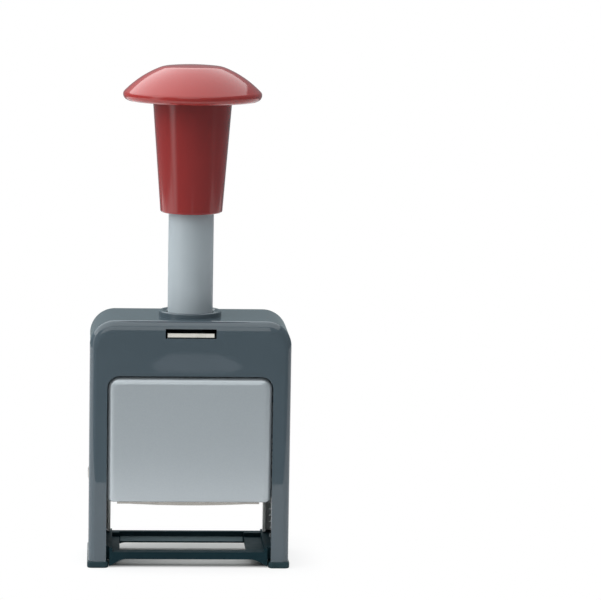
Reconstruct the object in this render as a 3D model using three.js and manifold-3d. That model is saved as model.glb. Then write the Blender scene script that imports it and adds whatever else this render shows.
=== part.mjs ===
// Numbering machine: a self-inking desk stamp. Pressing the red knob carries six number
// wheels down to the paper, swings the ink pad out of their way and rocks the feed pawls.
// Units are millimetres. +Z is up, -Y is the front, and the origin lies on the table
// under the middle of the housing.
import * as THREE from 'three';
import { mergeVertices } from 'three/addons/utils/BufferGeometryUtils.js';
import Module from 'manifold-3d';

const wasm = await Module();
wasm.setup();

// Clearances and counts shared by many pieces
const seatGap = 0.3;
const runGap = 0.3;
const overrun = 2;
const roundSides = 32;
const smallSides = 18;
const cornerSteps = 7;

// Housing: two dark moulded shells
const housingWidth = 70;
const housingDepth = 34;
const housingHeight = 87;
const housingWall = 1.8;
const housingCorner = 7.5;
const frontRound = 2.6;
const rearRound = 1.5;
const frontShellDepth = 3;
const legWidth = 6.5;
const browHeight = 19.2;
const windowCorner = 4.3;
const rearBrowHeight = 41;
const screwBossRadius = 2.6;
const screwHoleRadius = 1.1;
const screwSideInset = 3.7;
const screwTopInset = 7.4;
const lugHeight = 3.2;
const lugAboveSlider = 12.4;

// Lock slide and its slot at the top of the front
const slotWidth = 17.6;
const slotDrop = 6;
const slotHeight = 3.3;
const ledgeThickness = 1.1;
const ledgeDepth = 3.4;
const railThickness = 1;
const slideThickness = 1.4;
const slideInset = 0.5;
const slideDepth = 5.4;
const slideChamfer = 1.7;
const slideTravel = 2.2;

// Feet and base frame
const footThickness = 2.2;
const footOverhang = 0.35;
const footRound = 1.6;
const footInward = 0.6;
const frontBarTop = 5.6;
const frontBarBottom = 3.1;
const rearBarTop = 6.4;
const rearBarBottom = 2.7;
const bevelEdge = 0.5;
const bevelHeight = 1.5;
const bevelDepth = 1.7;
const printGap = 1.2;
const barInset = 0.4;
const barFlareLength = 5.8;
const barFlareShare = 0.33;
const baseUnderside = 0.5;
const webTop = 5;
const webLeft = 3.6;
const webRight = 7;
const cheekTop = 7;
const cheekThickness = 1;

// Front panel
const panelGap = 0.3;
const panelAboveTray = 3.5;
const panelDepth = 5.2;
const panelWall = 1.7;
const panelCorner = 4;
const panelLowerCorner = 1.6;
const panelRound = 2.2;
const panelLowerRound = 0.6;
const panelProud = 0.15;

// Guide rods and return springs in the legs
const rodRadius = 1.05;
const rodSocket = 3;
const wireRadius = 0.3;
const coilRadius = 1.65;
const coilCount = 18;
const stepsPerCoil = 8;
const wireSides = 5;

// Plunger: tube, rod, knob
const tubeRadius = 7.9;
const tubeBore = 6.6;
const rodStemRadius = 2.5;
const rodHeadRadius = 4.2;
const rodHeadThickness = 1.4;
const rodTopAboveDisc = 4.6;
const nutRadius = 4.6;
const nutThickness = 3;
const nutSides = 6;
const flangeRadius = 10.65;
const flangeThickness = 1.4;
const flangeRound = 0.5;
const flangeRecess = 0.5;
const flangeRim = 1.3;
const bushWall = 1.35;
const bushLength = 11;
const stopWidth = 1.9;
const stopThickness = 2.5;
const bufferThickness = 1.7;
const tubeExposed = 34.9;
const sleeveBottomRadius = 10.8;
const sleeveLength = 40.3;
const sleeveTopRadius = 13.9;
const sleeveEdge = 0.6;
const sleeveDiscDepth = 2.6;
const sleeveDisc = 2.7;
const sleeveRim = 3.4;
const capAboveSleeve = 11.5;
const capRadius = 24.2;
const capDrop = 10.5;
const capSkirt = 2.3;
const capWall = 2.2;
const capCrownRadiusShare = 0.56;
const capCrownDropShare = 0.2;
const capShoulderRadiusShare = 0.92;
const capShoulderDropShare = 0.72;
const capBottomRadiusShare = 0.93;
const capRibThickness = 1.2;
const capRound = 0.4;
const capSteps = 5;
const capInnerSteps = 2;
const capBulgeShare = 0.125;

// Number wheels on their shaft
const wheelCount = 6;
const digitCount = 10;
const wheelPitch = 5;
const drumWidth = 3.7;
const ratchetWidth = 0.8;
const typeRadius = 11.1;
const digitRelief = 0.4;
const typeLength = 5.9;
const drumRadius = 9.9;
const valleyShare = 0.33;
const ratchetRadius = 9;
const ratchetRoot = 7.6;
const shaftRadius = 2;
const shaftOverhang = 1.7;
const clipRadius = 3.3;
const clipThickness = 0.6;
const clipGap = 0.15;

// Carriage that carries the shaft
const cheekPlate = 1.2;
const lobeRadius = 6;
const bridgeThickness = 2;
const bridgeHalfDepth = 6.8;
const bridgeAboveWheels = 2.2;
const sliderHalfDepth = 3.2;
const sliderDrop = 4.8;
const sliderRise = 3.6;
const sliderFlange = 3;

// Feed rocker, pawls and detent
const rockerThickness = 1.1;
const rockerReach = 13.8;
const rockerHubRadius = 4;
const rockerEyeRadius = 2;
const rockerAngle = 12;
const barAngle = -8;
const barRadius = 0.9;
const pawlPinRadius = 0.9;
const pawlHubRadius = 1.45;
const fingerWidth = 0.6;
const detentThickness = 0.8;
const detentBodyHeight = 5.4;
const tipClearance = 0.35;

// Ink pad, its tray and pivots
const trayBottom = 20;
const traySideGap = 3.5;
const trayHalfDepth = 5.5;
const traySheet = 1;
const trayLip = 2.2;
const lipBow = 0.8;
const floorSink = 0.25;
const pivotInset = 3.5;
const pivotRise = 8;
const pivotRadius = 1.5;
const pivotHeadRadius = 2.8;
const pivotHeadThickness = 1.1;
const pivotHeadProud = 0.4;
const armEyeRadius = 2.6;
const cartridgeSideGap = 1.6;
const cartridgeHeight = 1.6;
const cartridgeWall = 1.1;
const cartridgeFloor = 0.7;
const padStack = 4;
const inkGap = 0.4;
const bearingSheet = 1;
const bearingDepth = 4.5;
const bearingFlange = 5.2;

// Finishes
const slate = { color: 0x4d595f, roughness: 0.42, metalness: 0 };
const blackPlastic = { color: 0x1c272c, roughness: 0.45, metalness: 0 };
const greyPlastic = { color: 0x9ca4a7, roughness: 0.4, metalness: 0 };
const red = { color: 0xab2d28, roughness: 0.22, metalness: 0 };
const nickel = { color: 0xd0cbc2, roughness: 0.3, metalness: 1 };
const steel = { color: 0x9a9c9e, roughness: 0.35, metalness: 1 };
const acetal = { color: 0xc9ccc9, roughness: 0.5, metalness: 0 };
const brass = { color: 0xb8964e, roughness: 0.35, metalness: 1 };
const rubber = { color: 0x1a1c1e, roughness: 0.8, metalness: 0 };
const felt = { color: 0x23232e, roughness: 1, metalness: 0 };

// Places worked out from the sizes
const halfWidth = housingWidth / 2;
const frontY = -housingDepth / 2;
const rearY = housingDepth / 2;
const splitY = frontY + frontShellDepth;
const innerX = halfWidth - housingWall;
const legInnerX = halfWidth - legWidth;
const innerRearY = rearY - housingWall;
const rodX = innerX - seatGap - coilRadius - wireRadius;
const windowHeight = housingHeight - browHeight;
const rearWindowHeight = housingHeight - rearBrowHeight;
const slotBottom = housingHeight - slotDrop;
const slideFront = frontY + slideInset;
const slideBack = slideFront + slideDepth;
const trayHalfWidth = legInnerX - traySideGap;
const cartridgeHalfWidth = trayHalfWidth - traySheet - cartridgeSideGap;
const panelBottom = trayBottom + panelAboveTray;
const padTop = trayBottom + padStack;
const cartridgeBottom = trayBottom + lipBow - floorSink + traySheet;
const cartridgeHalfDepth = trayHalfDepth - traySheet - clipGap;
const pivotY = rearY - pivotInset;
const pivotZ = trayBottom + pivotRise;
const shaftZ = padTop + inkGap + digitRelief + typeRadius;
const stroke = shaftZ - typeRadius - digitRelief;
const barInnerY = typeRadius + digitRelief + printGap;
const wheelPackHalf = (wheelCount * wheelPitch) / 2;
const rockerInnerX = wheelPackHalf + runGap;
const rockerOuterX = rockerInnerX + rockerThickness;
const cheekX = rockerOuterX + runGap;
const cheekOuterX = cheekX + cheekPlate;
const bridgeBottom = shaftZ + typeRadius + digitRelief + bridgeAboveWheels + seatGap;
const bridgeTop = bridgeBottom + bridgeThickness;
const sliderBottom = bridgeBottom - sliderDrop;
const flangeTop = housingHeight + flangeThickness;
const bushOuter = tubeRadius + runGap + bushWall;
const bushBottom = flangeTop - bushLength - flangeThickness;
const sliderTop = bridgeTop + sliderRise;
const lugTop = sliderTop + lugAboveSlider + lugHeight;
const sleeveBottom = flangeTop + tubeExposed;
const sleeveTop = sleeveBottom + sleeveLength;
const capTop = sleeveTop + capAboveSleeve;
const capRimHeight = capTop - capDrop;
const capBottom = capRimHeight - capSkirt;
const discTop = sleeveTop - sleeveDiscDepth;
const discBottom = discTop - sleeveDisc;
const springBottom = cheekTop + seatGap;
const springTop = sliderBottom - seatGap;

// Booleans work on closed bodies whose shared corners are merged
function toSolid(geometry) {
  const bare = geometry.index ? geometry.toNonIndexed() : geometry.clone();
  for (const name of Object.keys(bare.attributes)) {
    if (name !== 'position') bare.deleteAttribute(name);
  }
  const merged = mergeVertices(bare);
  const corners = merged.index.array;
  const kept = [];
  for (let i = 0; i < corners.length; i += 3) {
    const [a, b, c] = [corners[i], corners[i + 1], corners[i + 2]];
    if (a !== b && b !== c && c !== a) kept.push(a, b, c);
  }
  return new wasm.Manifold(new wasm.Mesh({
    numProp: 3,
    vertProperties: new Float32Array(merged.attributes.position.array),
    triVerts: new Uint32Array(kept),
  }));
}

function toGeometry(solid) {
  const mesh = solid.getMesh();
  const geometry = new THREE.BufferGeometry();
  geometry.setAttribute('position', new THREE.BufferAttribute(mesh.vertProperties, 3));
  geometry.setIndex(new THREE.BufferAttribute(mesh.triVerts, 1));
  return geometry;
}

const join = (...solids) => solids.reduce((whole, next) => whole.add(next));
const cut = (whole, ...tools) => tools.reduce((rest, tool) => rest.subtract(tool), whole);

// Basic bodies between two planes or corners
function block(low, high) {
  const size = high.map((value, axis) => value - low[axis]);
  const geometry = new THREE.BoxGeometry(...size);
  geometry.translate(...low.map((value, axis) => value + size[axis] / 2));
  return toSolid(geometry);
}

function prismZ(shape, low, high) {
  const geometry = new THREE.ExtrudeGeometry(shape, {
    depth: high - low, bevelEnabled: false, curveSegments: cornerSteps,
  });
  return toSolid(geometry.translate(0, 0, low));
}

// The outline's second coordinate is height; the body runs from front to rear
function prismY(shape, front, rear) {
  const geometry = new THREE.ExtrudeGeometry(shape, {
    depth: rear - front, bevelEnabled: false, curveSegments: cornerSteps,
  });
  return toSolid(geometry.rotateX(Math.PI / 2).translate(0, rear, 0));
}

// The outline's coordinates are depth and height; the body runs from left to right
function prismX(shape, left, right) {
  const geometry = new THREE.ExtrudeGeometry(shape, {
    depth: right - left, bevelEnabled: false, curveSegments: cornerSteps,
  });
  const turn = new THREE.Matrix4().makeBasis(
    new THREE.Vector3(0, 1, 0), new THREE.Vector3(0, 0, 1), new THREE.Vector3(1, 0, 0));
  return toSolid(geometry.applyMatrix4(turn).translate(left, 0, 0));
}

// A prism with both ends rounded over, before one end is trimmed away
function roundedPrismY(shape, front, rear, round) {
  const geometry = new THREE.ExtrudeGeometry(shape, {
    depth: rear - front - 2 * round, curveSegments: cornerSteps, bevelEnabled: true,
    bevelThickness: round, bevelSize: round, bevelOffset: -round, bevelSegments: 4,
  });
  return toSolid(geometry.rotateX(Math.PI / 2).translate(0, rear - round, 0));
}

function rodAlongX(radius, left, right, y, z, sides = smallSides) {
  const geometry = new THREE.CylinderGeometry(radius, radius, right - left, sides);
  return toSolid(geometry.rotateZ(Math.PI / 2).translate((left + right) / 2, y, z));
}

function rodAlongY(radius, front, rear, x, z, sides = smallSides) {
  const geometry = new THREE.CylinderGeometry(radius, radius, rear - front, sides);
  return toSolid(geometry.translate(x, (front + rear) / 2, z));
}

function rodAlongZ(radius, low, high, x, y, sides = smallSides) {
  const geometry = new THREE.CylinderGeometry(radius, radius, high - low, sides);
  return toSolid(geometry.rotateX(Math.PI / 2).translate(x, y, (low + high) / 2));
}

// A turned body from a profile of radius and height
function turned(profile, sides = roundSides) {
  return toSolid(new THREE.LatheGeometry(profile, sides).rotateX(Math.PI / 2));
}

const at = (x, y) => new THREE.Vector2(x, y);

// An upright rectangle with its own radius at the top and at the bottom corners
function roundedRectangle(left, bottom, right, top, upper, lower) {
  const shape = new THREE.Shape();
  shape.moveTo(left, bottom + lower);
  shape.lineTo(left, top - upper);
  shape.absarc(left + upper, top - upper, upper, Math.PI, Math.PI / 2, true);
  shape.lineTo(right - upper, top);
  shape.absarc(right - upper, top - upper, upper, Math.PI / 2, 0, true);
  shape.lineTo(right, bottom + lower);
  if (lower > 0) shape.absarc(right - lower, bottom + lower, lower, 0, -Math.PI / 2, true);
  shape.lineTo(left + lower, bottom);
  if (lower > 0) shape.absarc(left + lower, bottom + lower, lower, -Math.PI / 2, -Math.PI, true);
  return shape;
}

function polygon(points) {
  return new THREE.Shape(points.map(([x, y]) => at(x, y)));
}

// Housing shells: an arch of two legs under a flat top
function housingOutline(inset, bottom) {
  const side = halfWidth - inset;
  const top = housingHeight - inset;
  return roundedRectangle(-side, bottom, side, top, housingCorner - inset, 0);
}

function legGap(height, corner, front, rear) {
  const shape = roundedRectangle(-legInnerX, -overrun, legInnerX, height, corner, 0);
  return prismY(shape, front, rear);
}

function lockSlot() {
  return block([-slotWidth / 2, frontY - overrun, slotBottom],
    [slotWidth / 2, frontY + housingWall + overrun, slotBottom + slotHeight]);
}

function lockLedge() {
  const half = slotWidth / 2;
  const back = frontY + housingWall + ledgeDepth;
  const plate = block([-half - railThickness, frontY + housingWall / 2, slotBottom - ledgeThickness],
    [half + railThickness, back, slotBottom]);
  const rail = block([half, frontY + housingWall / 2, slotBottom - ledgeThickness],
    [half + railThickness, back, slotBottom + slideThickness + seatGap]);
  return join(plate, rail, rail.mirror([1, 0, 0]));
}

function frontShell() {
  const outside = roundedPrismY(housingOutline(0, -overrun), frontY, rearY, frontRound);
  const keep = block([-housingWidth, frontY - overrun, footThickness],
    [housingWidth, splitY, housingHeight + overrun]);
  const hollow = prismY(housingOutline(housingWall, -overrun), frontY + housingWall, rearY);
  const window = legGap(windowHeight, windowCorner, frontY - overrun, rearY);
  const shell = cut(outside.intersect(keep), hollow, window, lockSlot());
  return join(shell, lockLedge());
}

function rodLug() {
  const lug = block([legInnerX + seatGap, -sliderHalfDepth, lugTop - lugHeight],
    [innerX + housingWall / 2, sliderHalfDepth, lugTop]);
  return join(lug, lug.mirror([1, 0, 0]));
}

function screwBosses(radius, front, rear) {
  const x = innerX - screwSideInset;
  const z = housingHeight - screwTopInset;
  const boss = rodAlongY(radius, front, rear, x, z);
  return join(boss, boss.mirror([1, 0, 0]));
}

function pivotHoles() {
  const bore = rodAlongX(pivotRadius + clipGap, 0, housingWidth, pivotY, pivotZ);
  const sinkDepth = pivotHeadThickness - pivotHeadProud + clipGap;
  const sink = rodAlongX(pivotHeadRadius + clipGap, halfWidth - sinkDepth, housingWidth,
    pivotY, pivotZ);
  const side = join(bore, sink);
  return join(side, side.mirror([1, 0, 0]));
}

function rearShell() {
  const outside = roundedPrismY(housingOutline(0, -overrun), frontY - overrun, rearY, rearRound);
  const keep = block([-housingWidth, splitY, footThickness],
    [housingWidth, rearY + overrun, housingHeight + overrun]);
  const hollow = prismY(housingOutline(housingWall, -overrun), frontY - overrun, innerRearY);
  const window = legGap(rearWindowHeight, windowCorner, 0, rearY + overrun);
  const shell = cut(outside.intersect(keep), hollow, window);
  const bosses = screwBosses(screwBossRadius, splitY + seatGap, innerRearY + seatGap);
  const fitted = join(shell, rodLug(), bosses);
  const bushHole = rodAlongZ(bushOuter + clipGap, housingHeight - housingWall - overrun,
    housingHeight + overrun, 0, 0, roundSides);
  const rodHole = rodAlongZ(rodRadius + seatGap, sliderBottom, lugTop + overrun, rodX, 0);
  return cut(fitted, bushHole, rodHole, rodHole.mirror([1, 0, 0]), pivotHoles(),
    screwBosses(screwHoleRadius, frontY, rearY + overrun));
}

// Guide bush for the tube, with the round flange that shows on top of the housing
function topBush() {
  const bore = tubeRadius + runGap;
  const recessTop = flangeTop - flangeRecess;
  const body = turned([
    at(bore, bushBottom),
    at(bushOuter, bushBottom),
    at(bushOuter, housingHeight),
    at(flangeRadius, housingHeight),
    at(flangeRadius, flangeTop - flangeRound),
    at(flangeRadius - flangeRound, flangeTop),
    at(flangeRadius - flangeRim, flangeTop),
    at(flangeRadius - flangeRim - flangeRecess, recessTop),
    at(bore, recessTop),
    at(bore, bushBottom),
  ]);
  const relief = block([-slotWidth / 2, frontY, slotBottom],
    [slotWidth / 2, slideBack + slideTravel + seatGap, slotBottom + slideThickness + 2 * seatGap]);
  return cut(body, relief);
}

function lockSlide() {
  const half = slotWidth / 2 - seatGap;
  const bottom = slotBottom + seatGap;
  const outline = polygon([
    [-half, slideFront + slideChamfer], [-half + slideChamfer, slideFront],
    [half - slideChamfer, slideFront], [half, slideFront + slideChamfer],
    [half, slideBack], [-half, slideBack],
  ]);
  return prismZ(outline, bottom, bottom + slideThickness);
}

// A shoe under each leg
function foot() {
  const left = legInnerX - footInward;
  const right = halfWidth + footOverhang;
  const shape = roundedRectangle(left, frontY - footOverhang, right, rearY + footOverhang,
    footRound, footRound);
  return prismZ(shape, 0, footThickness);
}

// Base bars are arched underneath and flare down to the shoes
function barOutline(top, bottom) {
  const end = legInnerX - footInward - seatGap;
  const flat = end - barFlareLength;
  const curve = flat + barFlareLength * barFlareShare;
  const shape = new THREE.Shape();
  shape.moveTo(-end, top);
  shape.lineTo(-end, baseUnderside);
  shape.quadraticCurveTo(-curve, bottom, -flat, bottom);
  shape.lineTo(flat, bottom);
  shape.quadraticCurveTo(curve, bottom, end, baseUnderside);
  shape.lineTo(end, top);
  return shape;
}

// The rear edge of the print window is bevelled, so that the paper can be seen
function windowBevel(left, right) {
  const edge = rearBarBottom + bevelEdge;
  return prismX(polygon([
    [barInnerY - overrun, edge], [barInnerY, edge],
    [barInnerY + bevelDepth, edge + bevelHeight],
    [barInnerY + bevelDepth, rearBarTop + overrun], [barInnerY - overrun, rearBarTop + overrun],
  ]), left, right);
}

function baseFrame() {
  const end = legInnerX - footInward - seatGap;
  const front = frontY + barInset;
  const rear = rearY - barInset;
  const frontBar = prismY(barOutline(frontBarTop, frontBarBottom), front, -barInnerY);
  const rearBar = cut(prismY(barOutline(rearBarTop, rearBarBottom), barInnerY, rear),
    windowBevel(-end + webLeft, end - webRight));
  const web = (left, right) => block([left, -barInnerY - barInset, frontBarBottom],
    [right, barInnerY + barInset, webTop]);
  const cheek = block([end - cheekThickness, front, frontBarBottom], [end, rear, cheekTop]);
  const tongueLow = footThickness + seatGap;
  const tongue = block([end - cheekThickness, splitY + seatGap, tongueLow],
    [innerX - seatGap, innerRearY - seatGap, cheekTop]);
  const socket = rodAlongZ(rodRadius + seatGap, cheekTop - rodSocket, cheekTop + overrun, rodX, 0);
  const side = cut(join(cheek, tongue), socket);
  return join(frontBar, rearBar, web(-end, -end + webLeft), web(end - webRight, end),
    side, side.mirror([1, 0, 0]));
}

// Front panel: a shallow tray with rounded upper corners, open at the back
function panelShape(inset, bottom, lowerCorner) {
  const side = legInnerX - panelGap - inset;
  const top = windowHeight - panelGap - inset;
  return roundedRectangle(-side, bottom, side, top, panelCorner - inset, lowerCorner);
}

// The top and sides are rounded over broadly, the bottom edge only a little
function frontPanel() {
  const front = frontY - panelProud;
  const back = front + panelDepth;
  const broad = roundedPrismY(panelShape(0, 0, 0), front, back + panelRound, panelRound);
  const fine = roundedPrismY(panelShape(0, panelBottom, panelLowerCorner), front,
    back + panelRound, panelLowerRound);
  const keep = block([-housingWidth, front - overrun, 0], [housingWidth, back, housingHeight]);
  const hollow = prismY(panelShape(panelWall, panelBottom + panelWall, 0), front + panelWall,
    back + overrun);
  return cut(broad.intersect(fine).intersect(keep), hollow);
}

function guideRod() {
  return rodAlongZ(rodRadius, cheekTop - rodSocket + seatGap, lugTop + seatGap, rodX, 0);
}

// Centre line of a return spring, with a straight end of one wire diameter at each end
function springPath() {
  const steps = coilCount * stepsPerCoil;
  const low = springBottom + wireRadius;
  const rise = (springTop - wireRadius - low) / steps;
  const points = [];
  for (let i = 0; i <= steps; i += 1) {
    const angle = (i / stepsPerCoil) * 2 * Math.PI;
    points.push(new THREE.Vector3(rodX + coilRadius * Math.cos(angle),
      coilRadius * Math.sin(angle), low + rise * i));
  }
  const straight = 2 * wireRadius;
  const first = points[0];
  const last = points[points.length - 1];
  points.unshift(first.clone().add(new THREE.Vector3(0, -straight, 0)));
  points.push(last.clone().add(new THREE.Vector3(0, straight, 0)));
  return points;
}

// Least gap between turns, measured between points one coil or more apart
function leastCoilGap(points) {
  let least = Infinity;
  for (let i = 0; i < points.length; i += 1) {
    for (let j = i + stepsPerCoil - 1; j < points.length; j += 1) {
      least = Math.min(least, points[i].distanceTo(points[j]));
    }
  }
  return least - 2 * wireRadius;
}

function returnSpring() {
  const points = springPath();
  console.log(`return spring: least gap to itself ${leastCoilGap(points).toFixed(2)} mm`);
  const up = new THREE.Vector3(0, 0, 1);
  const corners = [];
  points.forEach((point, i) => {
    const before = points[Math.max(i - 1, 0)];
    const after = points[Math.min(i + 1, points.length - 1)];
    const along = after.clone().sub(before).normalize();
    const side = along.clone().cross(up).normalize();
    const over = side.clone().cross(along);
    for (let k = 0; k < wireSides; k += 1) {
      const angle = (k / wireSides) * 2 * Math.PI;
      const corner = point.clone();
      corner.addScaledVector(side, wireRadius * Math.cos(angle));
      corner.addScaledVector(over, wireRadius * Math.sin(angle));
      corners.push(corner.x, corner.y, corner.z);
    }
  });
  const faces = [];
  for (let i = 0; i < points.length - 1; i += 1) {
    for (let k = 0; k < wireSides; k += 1) {
      const a = i * wireSides + k;
      const b = i * wireSides + ((k + 1) % wireSides);
      faces.push(a, a + wireSides, b, b, a + wireSides, b + wireSides);
    }
  }
  const tail = (points.length - 1) * wireSides;
  for (let k = 1; k < wireSides - 1; k += 1) {
    faces.push(0, k, k + 1);
    faces.push(tail, tail + k + 1, tail + k);
  }
  const geometry = new THREE.BufferGeometry();
  geometry.setAttribute('position', new THREE.Float32BufferAttribute(corners, 3));
  geometry.setIndex(faces);
  return toSolid(geometry);
}

// Bearing plate: an angle strip at the back of each leg that carries the pad pivot
function bearingPlate() {
  const left = legInnerX - seatGap - bearingSheet;
  const rear = innerRearY - seatGap;
  const low = cheekTop + seatGap;
  const high = rearWindowHeight;
  const plate = block([left, rear - bearingDepth, low], [left + bearingSheet, rear, high]);
  const flange = block([left, rear - bearingSheet, low], [left + bearingFlange, rear, high]);
  const hole = rodAlongX(pivotRadius + clipGap, 0, housingWidth, pivotY, pivotZ);
  return cut(join(plate, flange), hole);
}

function padPivot() {
  const inner = trayHalfWidth - traySheet - seatGap;
  const outer = halfWidth + pivotHeadProud;
  const pin = rodAlongX(pivotRadius, inner, outer, pivotY, pivotZ);
  const head = rodAlongX(pivotHeadRadius, outer - pivotHeadThickness, outer, pivotY, pivotZ);
  return join(pin, head);
}

// Carriage: a bridge with two cheeks that hold the wheel shaft
function cheekShape() {
  const shape = new THREE.Shape();
  shape.moveTo(-bridgeHalfDepth, bridgeTop);
  shape.lineTo(-bridgeHalfDepth, bridgeBottom - bridgeThickness);
  shape.lineTo(-lobeRadius, shaftZ);
  shape.absarc(0, shaftZ, lobeRadius, Math.PI, 2 * Math.PI, false);
  shape.lineTo(bridgeHalfDepth, bridgeBottom - bridgeThickness);
  shape.lineTo(bridgeHalfDepth, bridgeTop);
  return shape;
}

function carriageFrame() {
  const end = legInnerX - seatGap;
  const bridge = block([-end, -bridgeHalfDepth, bridgeBottom], [end, bridgeHalfDepth, bridgeTop]);
  const cheek = prismX(cheekShape(), cheekX, cheekOuterX);
  const shaftHole = rodAlongX(shaftRadius + clipGap, -housingWidth, housingWidth, 0, shaftZ);
  const rodHole = rodAlongZ(rodStemRadius + clipGap, bridgeBottom - overrun, bridgeTop + overrun, 0, 0);
  return cut(join(bridge, cheek, cheek.mirror([1, 0, 0])), shaftHole, rodHole);
}

// Slider: an acetal shoe that runs on the guide rod and carries the bridge's end
function slider() {
  const left = legInnerX + clipGap;
  const body = block([left, -sliderHalfDepth, sliderBottom],
    [innerX - runGap, sliderHalfDepth, sliderTop]);
  const flange = block([left - sliderFlange, -sliderHalfDepth, bridgeBottom - bridgeThickness],
    [left + clipGap, sliderHalfDepth, bridgeBottom]);
  const bore = rodAlongZ(rodRadius + runGap, sliderBottom - overrun, sliderTop + overrun, rodX, 0);
  return cut(join(body, flange), bore);
}

function plungerTube() {
  const top = discBottom - seatGap;
  return cut(rodAlongZ(tubeRadius, bridgeTop, top, 0, 0, roundSides),
    rodAlongZ(tubeBore, bridgeTop - overrun, top + overrun, 0, 0, roundSides));
}

function plungerRod() {
  const low = bridgeBottom - rodHeadThickness;
  const stem = rodAlongZ(rodStemRadius, low, discTop + rodTopAboveDisc, 0, 0);
  const head = rodAlongZ(rodHeadRadius, low, bridgeBottom, 0, 0);
  return join(stem, head);
}

function rodNut() {
  const bottom = discTop + clipGap;
  return cut(rodAlongZ(nutRadius, bottom, bottom + nutThickness, 0, 0, nutSides),
    rodAlongZ(rodStemRadius + clipGap, discBottom, sleeveTop + nutThickness, 0, 0));
}

function ring(inner, outer, low, high) {
  return turned([at(inner, low), at(outer, low), at(outer, high), at(inner, high), at(inner, low)]);
}

function stopCollar() {
  const top = bushBottom - seatGap - bufferThickness;
  return ring(tubeRadius + clipGap, tubeRadius + stopWidth, top - stopThickness, top);
}

function stopBuffer() {
  const top = bushBottom - seatGap;
  return ring(tubeRadius + clipGap, tubeRadius + stopWidth, top - bufferThickness, top);
}

// Knob: a tapered sleeve over the tube under a hollow mushroom cap
function knobSleeve() {
  const bore = tubeRadius + seatGap;
  const rodHole = rodStemRadius + seatGap;
  const cup = sleeveTopRadius - sleeveRim;
  return turned([
    at(bore, sleeveBottom),
    at(sleeveBottomRadius - sleeveEdge, sleeveBottom),
    at(sleeveBottomRadius, sleeveBottom + sleeveEdge),
    at(sleeveTopRadius, sleeveTop),
    at(cup, sleeveTop),
    at(cup, discTop),
    at(rodHole, discTop),
    at(rodHole, discBottom),
    at(bore, discBottom),
    at(bore, sleeveBottom),
  ]);
}

// Dome from the crown down to the rim; the inset gives the inner wall
function domeCurve(inset, steps) {
  const drop = capTop - capRimHeight;
  const rim = capRadius - inset;
  const crown = at(rim * capCrownRadiusShare, capTop - inset - drop * capCrownDropShare);
  const shoulder = at(rim * capShoulderRadiusShare, capTop - inset - drop * capShoulderDropShare);
  const path = new THREE.Path();
  path.moveTo(0, capTop - inset);
  path.quadraticCurveTo(crown.x / 2, capTop - inset, crown.x, crown.y);
  const bend = at((crown.x + shoulder.x) / 2, (crown.y + shoulder.y) / 2 + drop * capBulgeShare);
  path.quadraticCurveTo(bend.x, bend.y, shoulder.x, shoulder.y);
  path.quadraticCurveTo(rim, capRimHeight + drop * capBulgeShare, rim, capRimHeight);
  return path.getPoints(steps);
}

function knobCap() {
  const lip = at(capRadius * capBottomRadiusShare, capBottom);
  const ribOuter = sleeveTopRadius - sleeveRim - seatGap;
  const ribInner = ribOuter - capRibThickness;
  const shell = turned([
    ...domeCurve(capWall, capInnerSteps),
    at(capRadius - capWall, capBottom + capRound),
    lip,
    at((capRadius + lip.x) / 2 + capRound, (capRimHeight + capBottom) / 2 - capRound),
    ...domeCurve(0, capSteps).reverse(),
  ]);
  const rib = ring(ribInner, ribOuter, discTop + seatGap, capTop - capWall / 2);
  const under = turned([at(0, capRimHeight), ...domeCurve(capWall / 2, capInnerSteps).reverse()]);
  const below = ring(ribInner - overrun, ribOuter + overrun, discTop, capRimHeight);
  return join(shell, rib.intersect(join(under, below)));
}

function wheelShaft() {
  return rodAlongX(shaftRadius, -cheekOuterX - shaftOverhang, cheekOuterX + shaftOverhang, 0, shaftZ);
}

function shaftClip() {
  const left = cheekOuterX + clipGap;
  return cut(rodAlongX(clipRadius, left, left + clipThickness, 0, shaftZ),
    rodAlongX(shaftRadius + clipGap, left - overrun, left + overrun, 0, shaftZ));
}

// Number wheel: ten flat type faces round a drum, and a saw-toothed ratchet on its right
function drumShape() {
  const half = typeLength / 2;
  const outline = [];
  const step = (2 * Math.PI) / digitCount;
  const corner = Math.atan2(half, typeRadius);
  for (let i = 0; i < digitCount; i += 1) {
    const face = i * step - Math.PI / 2;
    const edge = Math.hypot(half, typeRadius);
    const valley = (step / 2 - corner) * valleyShare;
    const turns = [[edge, -corner], [edge, corner],
      [drumRadius, corner + valley], [drumRadius, step - corner - valley]];
    turns.forEach(([radius, angle]) => {
      outline.push([radius * Math.cos(face + angle), radius * Math.sin(face + angle)]);
    });
  }
  return polygon(outline);
}

function ratchetShape() {
  const step = (2 * Math.PI) / digitCount;
  const outline = [];
  for (let i = 0; i < digitCount; i += 1) {
    const angle = i * step;
    outline.push([ratchetRadius * Math.cos(angle), ratchetRadius * Math.sin(angle)]);
    const root = angle + step / digitCount;
    outline.push([ratchetRoot * Math.cos(root), ratchetRoot * Math.sin(root)]);
  }
  return polygon(outline);
}

const wheelCentre = (index) => (index - (wheelCount - 1) / 2) * wheelPitch;
const wheelLeft = (index) => wheelCentre(index) - (drumWidth + ratchetWidth) / 2;
const fingerLeft = (index) => wheelLeft(index) + drumWidth + (wheelPitch - drumWidth - fingerWidth) / 2;

function numberWheel(index) {
  const left = wheelLeft(index);
  const drum = prismX(drumShape(), left, left + drumWidth);
  const ratchet = prismX(ratchetShape(), left + drumWidth / 2, left + drumWidth + ratchetWidth);
  const wheel = join(drum, ratchet).translate([0, 0, shaftZ]);
  return cut(wheel, rodAlongX(shaftRadius + runGap, -housingWidth, housingWidth, 0, shaftZ));
}

// A point at a radius and an angle in degrees above the rear, seen about the wheel shaft
function around(radius, degrees) {
  const angle = THREE.MathUtils.degToRad(degrees);
  return [radius * Math.cos(angle), shaftZ + radius * Math.sin(angle)];
}

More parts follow.
